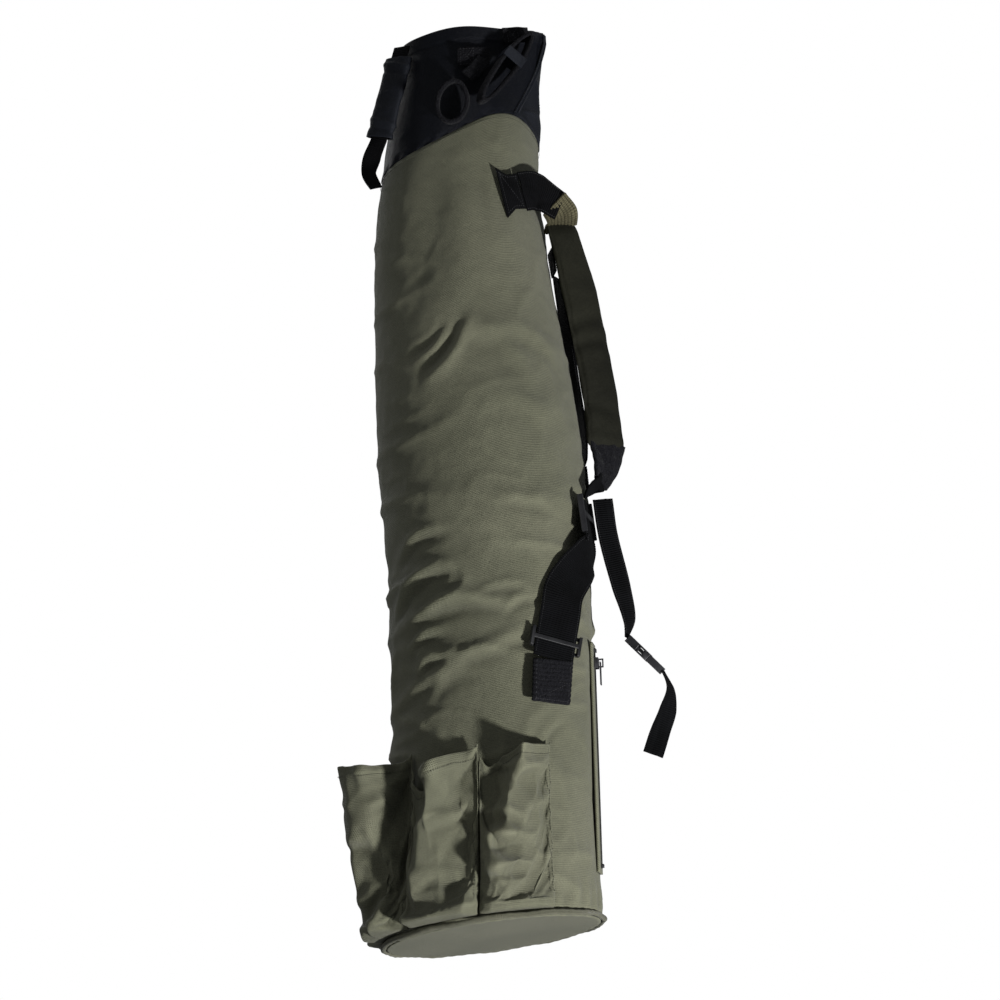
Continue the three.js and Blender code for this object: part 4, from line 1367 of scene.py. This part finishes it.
def sleeveGrid(settings):
    rows, count = settings["rows"], settings["round"]
    middle, across, face, width = stripFrames(settings["line"], rows)
    turn = np.linspace(0, 2 * np.pi, count, endpoint=False)[None, :]
    along = np.linspace(0, 1, rows)[:, None]
    wide = settings["wide"] / 2 * (1 - 0.08 * np.sin(np.pi * along))
    deep = settings["deep"] / 2
    side = np.sign(np.cos(turn)) * np.abs(np.cos(turn)) ** 0.8 * wide
    out = np.sign(np.sin(turn)) * np.abs(np.sin(turn)) ** 0.8 * deep
    grid = middle[:, None] + across[:, None] * side[..., None] + face[:, None] * (out + 0 * along)[..., None]
    folds = sum(
        depth * np.exp(-(((along - at - 0.03 * np.cos(turn)) / wideness) ** 2))
        for at, wideness, depth in settings["folds"]
    )
    rumple = 0.0012 * (creases(grid, 0.022, 21, 3.0) - 0.4)
    return grid, folds + rumple


sleeveSettings = {
    "line": sleeveLine,
    "rows": 90,
    "round": 56,
    "wide": 0.0375,
    "deep": 0.0105,
    "thick": 0.0018,
    "folds": [(0.1, 0.03, 0.0013), (0.2, 0.03, -0.0011), (0.8, 0.035, 0.0014), (0.9, 0.03, -0.001)],
}


def makeSleeve(settings):
    grid, relief = sleeveGrid(settings)
    grid = grid + gridNormals(grid, wrapCols=True) * relief[..., None]
    sleeve = shell("grab_sleeve_cloth", grid, settings["thick"], wrapCols=True)
    finished(sleeve, "grab", navySide, ["grab_sleeve"])


makeLoops(loopPieces)
makeSleeve(sleeveSettings)
print("loops and sleeve made")


# moulded parts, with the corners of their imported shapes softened

hardPieces = {
    "adjuster": ("strap_adjuster", "bag", blackPlastic, "black_plastic", 0.0009),
    "triglide": ("lower_triglide", "triglide", blackPlastic, "black_plastic", 0.0008),
    "socket": ("buckle_socket", "tail_strap", blackPlastic, "black_plastic", 0.0007),
    "plug_body": ("buckle_plug", "plug", blackPlastic, "black_plastic", 0.0004),
    "slider_body": ("zip_slider", "slider", darkMetal, "dark_metal", 0.0004),
    "pull_tab": ("zip_pull", "pull", darkMetal, "dark_metal", 0.0003),
    "stop_low": ("zip_bottom_stop", "bag", darkMetal, "dark_metal", 0.0003),
    "stop_high": ("zip_top_stop", "bag", darkMetal, "dark_metal", 0.0003),
    "keeper": ("rod_keeper_right", "right_loop", navySide, "navy_nylon", 0.0007),
}


def makeHard(pieces):
    for name, (node, body, material, slot, radius) in pieces.items():
        mesh = bpy.data.meshes.new(name)
        work = bmesh.new()
        work.from_mesh(nodes[node].data)
        work.transform(nodes[node].matrix_world)
        bmesh.ops.remove_doubles(work, verts=work.verts, dist=1e-6)
        bmesh.ops.dissolve_limit(work, angle_limit=math.radians(4), verts=work.verts, edges=work.edges)
        bmesh.ops.recalc_face_normals(work, faces=work.faces)
        work.to_mesh(mesh)
        work.free()
        layCloth(mesh, placesOf(mesh) @ np.array([[1, 0], [1, 0], [0, 1]]))
        made = link(bpy.data.objects.new(name, mesh))
        bevel = made.modifiers.new("soften", "BEVEL")
        bevel.width = radius
        bevel.segments = 3
        bevel.angle_limit = math.radians(28)
        bevel.harden_normals = True
        finished(made, body, material, [node])


makeHard(hardPieces)
print("moulded parts made")


# repeated things, laid along lines by one tree

def repeatTree(name, shape):
    tree = bpy.data.node_groups.new(name, "GeometryNodeTree")
    tree.interface.new_socket("Geometry", in_out="INPUT", socket_type="NodeSocketGeometry")
    for label, kind, value in (
        ("Spacing", "NodeSocketFloat", 0.003), ("Length", "NodeSocketFloat", 0.002),
        ("Width", "NodeSocketFloat", 0.0006), ("Depth", "NodeSocketFloat", 0.0006),
        ("Stagger", "NodeSocketFloat", 0.0), ("Uneven", "NodeSocketFloat", 0.1),
        ("Seed", "NodeSocketInt", 1), ("Finish", "NodeSocketMaterial", None),
    ):
        socket = tree.interface.new_socket(label, in_out="INPUT", socket_type=kind)
        if value is not None:
            socket.default_value = value
    tree.interface.new_socket("Geometry", in_out="OUTPUT", socket_type="NodeSocketGeometry")
    given = addNode(tree, "NodeGroupInput").outputs
    curve = addNode(tree, "GeometryNodeMeshToCurve", {"Mesh": given["Geometry"]})
    spaced = {"Curve": curve.outputs[0], "Length": given["Spacing"]}
    spots = addNode(tree, "GeometryNodeCurveToPoints", spaced, mode="LENGTH")
    size = addNode(tree, "ShaderNodeCombineXYZ", {0: given["Width"], 1: given["Depth"], 2: given["Length"]})
    if shape == "thread":
        one = addNode(tree, "GeometryNodeMeshUVSphere", {"Segments": 8, "Rings": 6, "Radius": 0.5})
    else:
        one = addNode(tree, "GeometryNodeMeshCube", {"Size": (1, 1, 1)})
    least = maths(tree, "SUBTRACT", 1.0, given["Uneven"])
    most = maths(tree, "ADD", 1.0, given["Uneven"])
    vary = addNode(tree, "FunctionNodeRandomValue", {"Seed": given["Seed"]}, data_type="FLOAT")
    # the node has a Min and a Max for each kind of value
    floats = [pin for pin in vary.inputs if pin.name in ("Min", "Max") and pin.type == "VALUE"]
    tree.links.new(least, floats[0])
    tree.links.new(most, floats[1])
    value = [socket for socket in vary.outputs if socket.type == "VALUE"][0]
    scale = addNode(tree, "ShaderNodeVectorMath", {0: size.outputs[0], "Scale": value}, operation="SCALE")
    placed = addNode(
        tree,
        "GeometryNodeInstanceOnPoints",
        {
            "Points": spots.outputs["Points"],
            "Instance": one.outputs[0],
            "Rotation": spots.outputs["Rotation"],
            "Scale": scale.outputs[0],
        },
    )
    index = addNode(tree, "GeometryNodeInputIndex").outputs[0]
    aside = maths(tree, "SUBTRACT", maths(tree, "MODULO", index, 2.0), 0.5)
    move = addNode(tree, "ShaderNodeCombineXYZ", {0: maths(tree, "MULTIPLY", aside, given["Stagger"])})
    moved = addNode(
        tree,
        "GeometryNodeTranslateInstances",
        {"Instances": placed.outputs[0], "Translation": move.outputs[0], "Local Space": True},
    )
    real = addNode(tree, "GeometryNodeRealizeInstances", {"Geometry": moved.outputs[0]})
    painted = addNode(
        tree, "GeometryNodeSetMaterial", {"Geometry": real.outputs[0], "Material": given["Finish"]}
    )
    addNode(tree, "NodeGroupOutput", {0: painted.outputs[0]})
    return tree


def repeated(name, tree, lines, body, finish, **values):
    # turns open lines into a plain mesh of repeated shapes on one body
    points, edges = [], []
    for line in lines:
        start = len(points)
        points += np.asarray(line).tolist()
        edges += [(start + k, start + k + 1) for k in range(len(line) - 1)]
    mesh = bpy.data.meshes.new(name + "Lines")
    mesh.from_pydata(points, edges, [])
    source = link(bpy.data.objects.new(name + "Lines", mesh))
    modifier = source.modifiers.new("repeat", "NODES")
    modifier.node_group = tree
    wanted = {**values, "Finish": finish}
    for item in tree.interface.items_tree:
        if item.in_out == "INPUT" and item.name in wanted:
            modifier[item.identifier] = wanted[item.name]
    result = source.evaluated_get(bpy.context.evaluated_depsgraph_get())
    made = bpy.data.meshes.new_from_object(result)
    bpy.data.objects.remove(source)
    if not len(made.polygons):
        raise ValueError(name + " has nothing laid along its lines")
    made.materials.clear()
    return finished(link(bpy.data.objects.new(name, made)), body, finish)


threadTree = repeatTree("threadAlong", "thread")
toothTree = repeatTree("teethAlong", "tooth")

zipSettings = {
    "degrees": -8.0,
    "low": 0.055,
    "high": 0.330,
    "tapeWidth": 0.026,
    "tapeThick": 0.0034,
    "tapeIn": -0.0013,  # the tape is backed by the seam allowance, down to the cloth
    "offset": 0.0024,
    "chainOut": 0.0015,
    "tooth": {"Spacing": 0.00150, "Length": 0.0009, "Width": 0.0031, "Depth": 0.0014, "Stagger": 0.0016,
              "Uneven": 0.0, "Seed": 2},
}
zipAcross = np.array([0.1392, 0.9903, 0])
zipOut = np.array([0.9847, -0.1384, -0.1047])


def zipLine(across, out, low, high, count=60):
    z = np.linspace(low, high, count)
    heights = np.array([zipSettings["low"], zipSettings["high"]])
    ends = onTube(zipSettings["degrees"], heights, zipSettings["offset"])
    share = (z - ends[0, 2]) / (ends[1, 2] - ends[0, 2])
    middle = ends[0] + (ends[1] - ends[0]) * share[:, None]
    return middle + zipAcross * across + zipOut * out


def makeZip(settings):
    half = settings["tapeWidth"] / 2
    columns = [
        zipLine(share * half, settings["tapeIn"], settings["low"], settings["high"], 90)
        for share in np.linspace(-1, 1, 15)
    ]
    tape = shell("zip_cloth", np.stack(columns, axis=1), settings["tapeThick"])
    finished(tape, "bag", oliveCloth, ["zip_tape"])
    line = zipLine(0.0, settings["chainOut"], settings["low"] + 0.006, settings["high"] - 0.006)
    teeth = repeated("zip_teeth", toothTree, [line], "bag", blackPlastic, **settings["tooth"])
    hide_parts("zip_chain")


makeZip(zipSettings)
print("zip made")


stitchSettings = {
    "olive": {"Spacing": 0.0034, "Length": 0.0027, "Width": 0.0007, "Depth": 0.0007,
              "Uneven": 0.12, "Seed": 7},
    "black": {"Spacing": 0.0030, "Length": 0.0023, "Width": 0.0006, "Depth": 0.0006,
              "Uneven": 0.12, "Seed": 9},
    "lift": 0.0001,
    "hemDown": 0.0125,  # metres below each pocket's mouth
    "seamDown": 0.006,
    "boxReach": 0.84,  # share of the half width
    # straps sewn along both edges, at this share of the half width
    "edges": [("anchor_tab", 0.86), ("top_webbing", 0.9), ("lower_tab", 0.84), ("tail", 0.84),
              ("wide_webbing", 0.9), ("carry_handle_webbing", 0.82)],
    # straps with a sewn box, between these shares of the length
    "boxes": [("anchor_patch", 0.1, 0.9), ("anchor_tab", 0.55, 0.95), ("handle_foot", 0.12, 0.88),
              ("handle_head", 0.12, 0.88), ("rod_patch_l", 0.1, 0.5), ("rod_patch_r", 0.1, 0.5)],
}


def crossed(piece, low, high, reach, lift):
    # a sewn box with a cross in it, between two shares of a strap's length
    corners = [crossLine(piece, at, reach, lift) for at in (low, high)]
    sides = [stripLine(piece, share * reach, lift, low, high) for share in (-1, 1)]
    first = np.linspace(corners[0][0], corners[1][-1], 9)
    second = np.linspace(corners[0][-1], corners[1][0], 9)
    return [*corners, *sides, first, second]


def pocketStitches(grids, settings):
    lines = []
    for grid in grids:
        normal = -gridNormals(grid)
        rows = len(grid)
        rise = grid[-1, 0, 2] - grid[10, 0, 2]
        hemRow = rows - 1 - int(round(settings["hemDown"] / rise * (rows - 10)))
        lines.append((grid + normal * 0.0016)[hemRow, 3:-3])
        for col in (1, 3):
            lines.append((grid + normal * 0.0010)[12:-2, col])
    return lines


def makeStitches(settings):
    olive = pocketStitches(pocketGrids, settings)
    degrees = np.linspace(-180, 179, 300)
    olive.append(onTube(degrees, seamHeight(degrees) - settings["seamDown"], 0.0006))
    repeated("stitches_olive", threadTree, olive, "bag", oliveThread, **settings["olive"])
    byBody = {}

    def sewn(name, linesFor):
        # threads show on both faces
        piece = strapPieces[name]
        above = piece["thick"] / 2 + settings["lift"]
        for side in (-1, 1):
            byBody.setdefault(piece["body"], []).extend(linesFor(piece, side * above))

    for name, edge in settings["edges"]:
        for share in (-edge, edge):
            sewn(name, lambda piece, lift: [stripLine(piece, share, lift, 0.02, 0.98)])
    for name, low, high in settings["boxes"]:
        sewn(name, lambda piece, lift: crossed(piece, low, high, settings["boxReach"], lift))
    for body, lines in byBody.items():
        repeated("stitches_" + body, threadTree, lines, body, blackThread, **settings["black"])


makeStitches(stitchSettings)
print("stitches made")


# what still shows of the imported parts

shownNodes = {"base_board": greyBoard}
for name, material in shownNodes.items():
    nodes[name].data.materials.clear()
    nodes[name].data.materials.append(material)

print("finishing")
